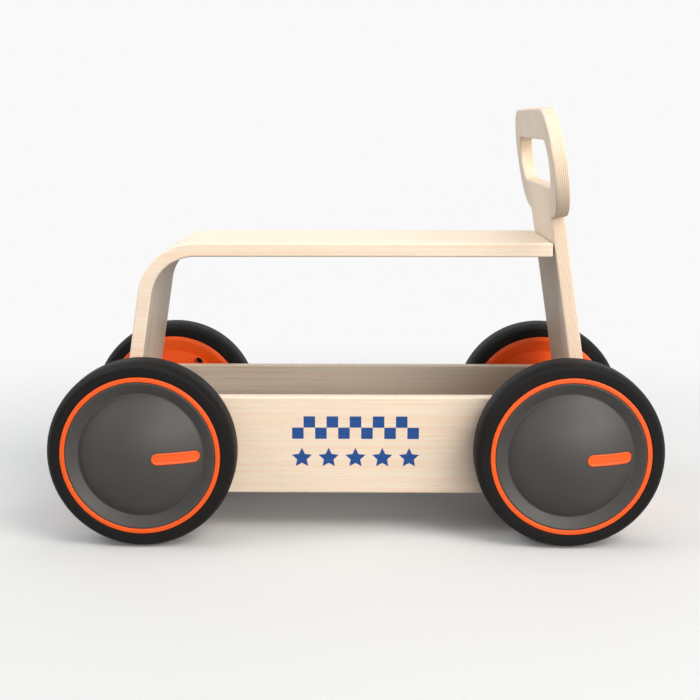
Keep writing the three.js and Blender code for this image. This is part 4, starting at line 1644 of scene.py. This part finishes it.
class TOYCAR_OT_handle(bpy.types.Operator):
    """Build the post with its loop handle"""

    bl_idname = "toycar.handle"
    bl_label = "Handle post"

    def execute(self, context):
        piece = build_handle_post(scene_group("toy_sheets"), scene_group("toy_fittings"))
        finish_piece(piece, "chassis", finish_named("birch plywood"), ["handle_post"])
        return {"FINISHED"}


class TOYCAR_OT_tray(bpy.types.Operator):
    """Build the side boards and the floor of the tray"""

    bl_idname = "toycar.tray"
    bl_label = "Tray"

    def execute(self, context):
        sheets = scene_group("toy_sheets")
        wood = finish_named("birch plywood")
        for side in SIDES:
            board = build_side_board(side, sheets, scene_group("toy_fittings"))
            finish_piece(board, "chassis", wood, [f"side_board_{side}"])
        finish_piece(build_floor_panel(sheets), "chassis", wood, ["floor_panel"])
        return {"FINISHED"}


class TOYCAR_OT_wheels(bpy.types.Operator):
    """Build the tyres, rims, hub caps and inlays"""

    bl_idname = "toycar.wheels"
    bl_label = "Wheels"

    def execute(self, context):
        wheels = scene_group("toy_wheels")
        orange = finish_named("orange plastic")
        grey = finish_named("grey plastic")
        black = finish_named("tyre rubber")
        copy_to_wheels(build_tyre(wheels), "tyre_tread", black, "tyre")
        cups = [well_cup(wheels, x, z) for x, z in well_places(wheels)]
        rim = join("moulded rim", [build_rim(wheels), *cups])
        copy_to_wheels(rim, "moulded_rim", orange, "rim")
        copy_to_wheels(build_hub_cap(wheels), "domed_cap", grey, "hub_cap")
        copy_to_wheels(build_inlay(wheels), "plain_inlay", orange, "cap_inlay")
        return {"FINISHED"}


class TOYCAR_OT_axles(bpy.types.Operator):
    """Build the axles with their bushes, washers and caps"""

    bl_idname = "toycar.axles"
    bl_label = "Axles"

    def execute(self, context):
        fittings = scene_group("toy_fittings")
        plated = finish_named("plated steel")
        nylon = finish_named("nylon")
        for end in ENDS:
            finish_piece(build_axle(end, fittings), "chassis", plated, [f"axle_{end}"])
            for side in SIDES:
                place = f"{end}_{side}"
                bush = build_bush(end, side, fittings)
                finish_piece(bush, "chassis", nylon, [f"axle_bush_{place}"])
                washer = build_washer(end, side, fittings)
                finish_piece(washer, "chassis", plated, [f"axle_washer_{place}"])
                cap = build_push_cap(end, side, fittings)
                finish_piece(cap, "chassis", plated, [f"axle_cap_{place}"])
        return {"FINISHED"}


class TOYCAR_OT_screws(bpy.types.Operator):
    """Build the screws, bolts and nuts"""

    bl_idname = "toycar.screws"
    bl_label = "Screws and bolts"

    def execute(self, context):
        sheets = scene_group("toy_sheets")
        fittings = scene_group("toy_fittings")
        tree = place_tree()
        fix_boards(tree, sheets, fittings)
        fix_seat(tree, sheets, fittings)
        fix_hub_caps(tree, scene_group("toy_wheels"), fittings)
        return {"FINISHED"}


class TOYCAR_OT_print(bpy.types.Operator):
    """Print the band of squares and stars on both side boards"""

    bl_idname = "toycar.print_band"
    bl_label = "Printed band"

    def execute(self, context):
        sizes = scene_group("toy_print")
        tree = band_tree()
        values = {
            "Square": sizes.square,
            "Columns": sizes.columns,
            "Stars": sizes.stars,
            "Star": sizes.star,
            "Star waist": sizes.star_waist,
            "Star spacing": sizes.star_spacing,
            "Star drop": sizes.band_height - sizes.star_height,
            "Ink": 2 * sizes.ink,
            "Finish": finish_named("printed ink"),
        }
        for side, facing in SIDES.items():
            piece = grown(f"print_{side}", bpy.data.meshes.new("print"), tree, values)
            turn = Matrix.Rotation(0.0 if side == "right" else math.pi, 4, "Z")
            move = Matrix.Translation((0.0, facing * BOARD_HIGH[1], sizes.band_height))
            piece.data.transform(move @ turn)
            finish_piece(piece, "chassis", None, [])
        return {"FINISHED"}


class TOYCAR_OT_studio(bpy.types.Operator):
    """Set up the floor, the lights and the camera"""

    bl_idname = "toycar.studio"
    bl_label = "Studio"

    def execute(self, context):
        studio = scene_group("toy_studio")
        finish = scene_group("toy_finishes")
        context.scene.view_settings.view_transform = "Standard"
        floor = lay_floor(studio)
        stand_camera(studio)
        light_world(studio, finish)
        lamps = {}
        for name in PANELS:
            colour = finish.warm_lamp if name in WARM_PANELS else finish.plain_lamp
            lamps[name] = hang_panel(name, getattr(studio, f"{name}_watts"), colour)
        # the back light would show as a white sheen on the seat
        lamps["back"].visible_glossy = False
        # the fill light leaves the floor out, so that the car's shadow falls to the leg's side
        left_out = bpy.data.collections.new("left out by the fill light")
        left_out.objects.link(floor)
        left_out.collection_objects[0].light_linking.link_state = "EXCLUDE"
        lamps["fill"].light_linking.receiver_collection = left_out
        return {"FINISHED"}


class TOYCAR_PT_panel(bpy.types.Panel):
    """Sizes, colours and build steps of the toy car"""

    bl_idname = "TOYCAR_PT_panel"
    bl_label = "Toy Car"
    bl_space_type = "VIEW_3D"
    bl_region_type = "UI"
    bl_category = "Toy Car"

    def draw(self, context):
        for name, group in GROUPS.items():
            box = self.layout.box()
            box.label(text=group.__doc__)
            for key in group.__annotations__:
                box.prop(getattr(context.scene, name), key)
        for operator in OPERATORS:
            self.layout.operator(operator.bl_idname)


GROUPS = {
    "toy_sheets": SheetSizes,
    "toy_wheels": WheelSizes,
    "toy_fittings": FittingSizes,
    "toy_print": PrintSizes,
    "toy_finishes": Finishes,
    "toy_studio": StudioSizes,
}
OPERATORS = (
    TOYCAR_OT_finishes,
    TOYCAR_OT_seat,
    TOYCAR_OT_handle,
    TOYCAR_OT_tray,
    TOYCAR_OT_wheels,
    TOYCAR_OT_axles,
    TOYCAR_OT_screws,
    TOYCAR_OT_print,
    TOYCAR_OT_studio,
)
CLASSES = (*GROUPS.values(), *OPERATORS, TOYCAR_PT_panel)


def register():
    for cls in CLASSES:
        bpy.utils.register_class(cls)
    for name, group in GROUPS.items():
        setattr(bpy.types.Scene, name, bpy.props.PointerProperty(type=group))


def unregister():
    for name in GROUPS:
        delattr(bpy.types.Scene, name)
    for cls in reversed(CLASSES):
        bpy.utils.unregister_class(cls)


def main():
    register()
    bpy.ops.toycar.finishes()
    bpy.ops.toycar.seat()
    bpy.ops.toycar.handle()
    bpy.ops.toycar.tray()
    bpy.ops.toycar.wheels()
    bpy.ops.toycar.axles()
    bpy.ops.toycar.screws()
    bpy.ops.toycar.print_band()
    bpy.ops.toycar.studio()


if __name__ == "__main__":
    main()
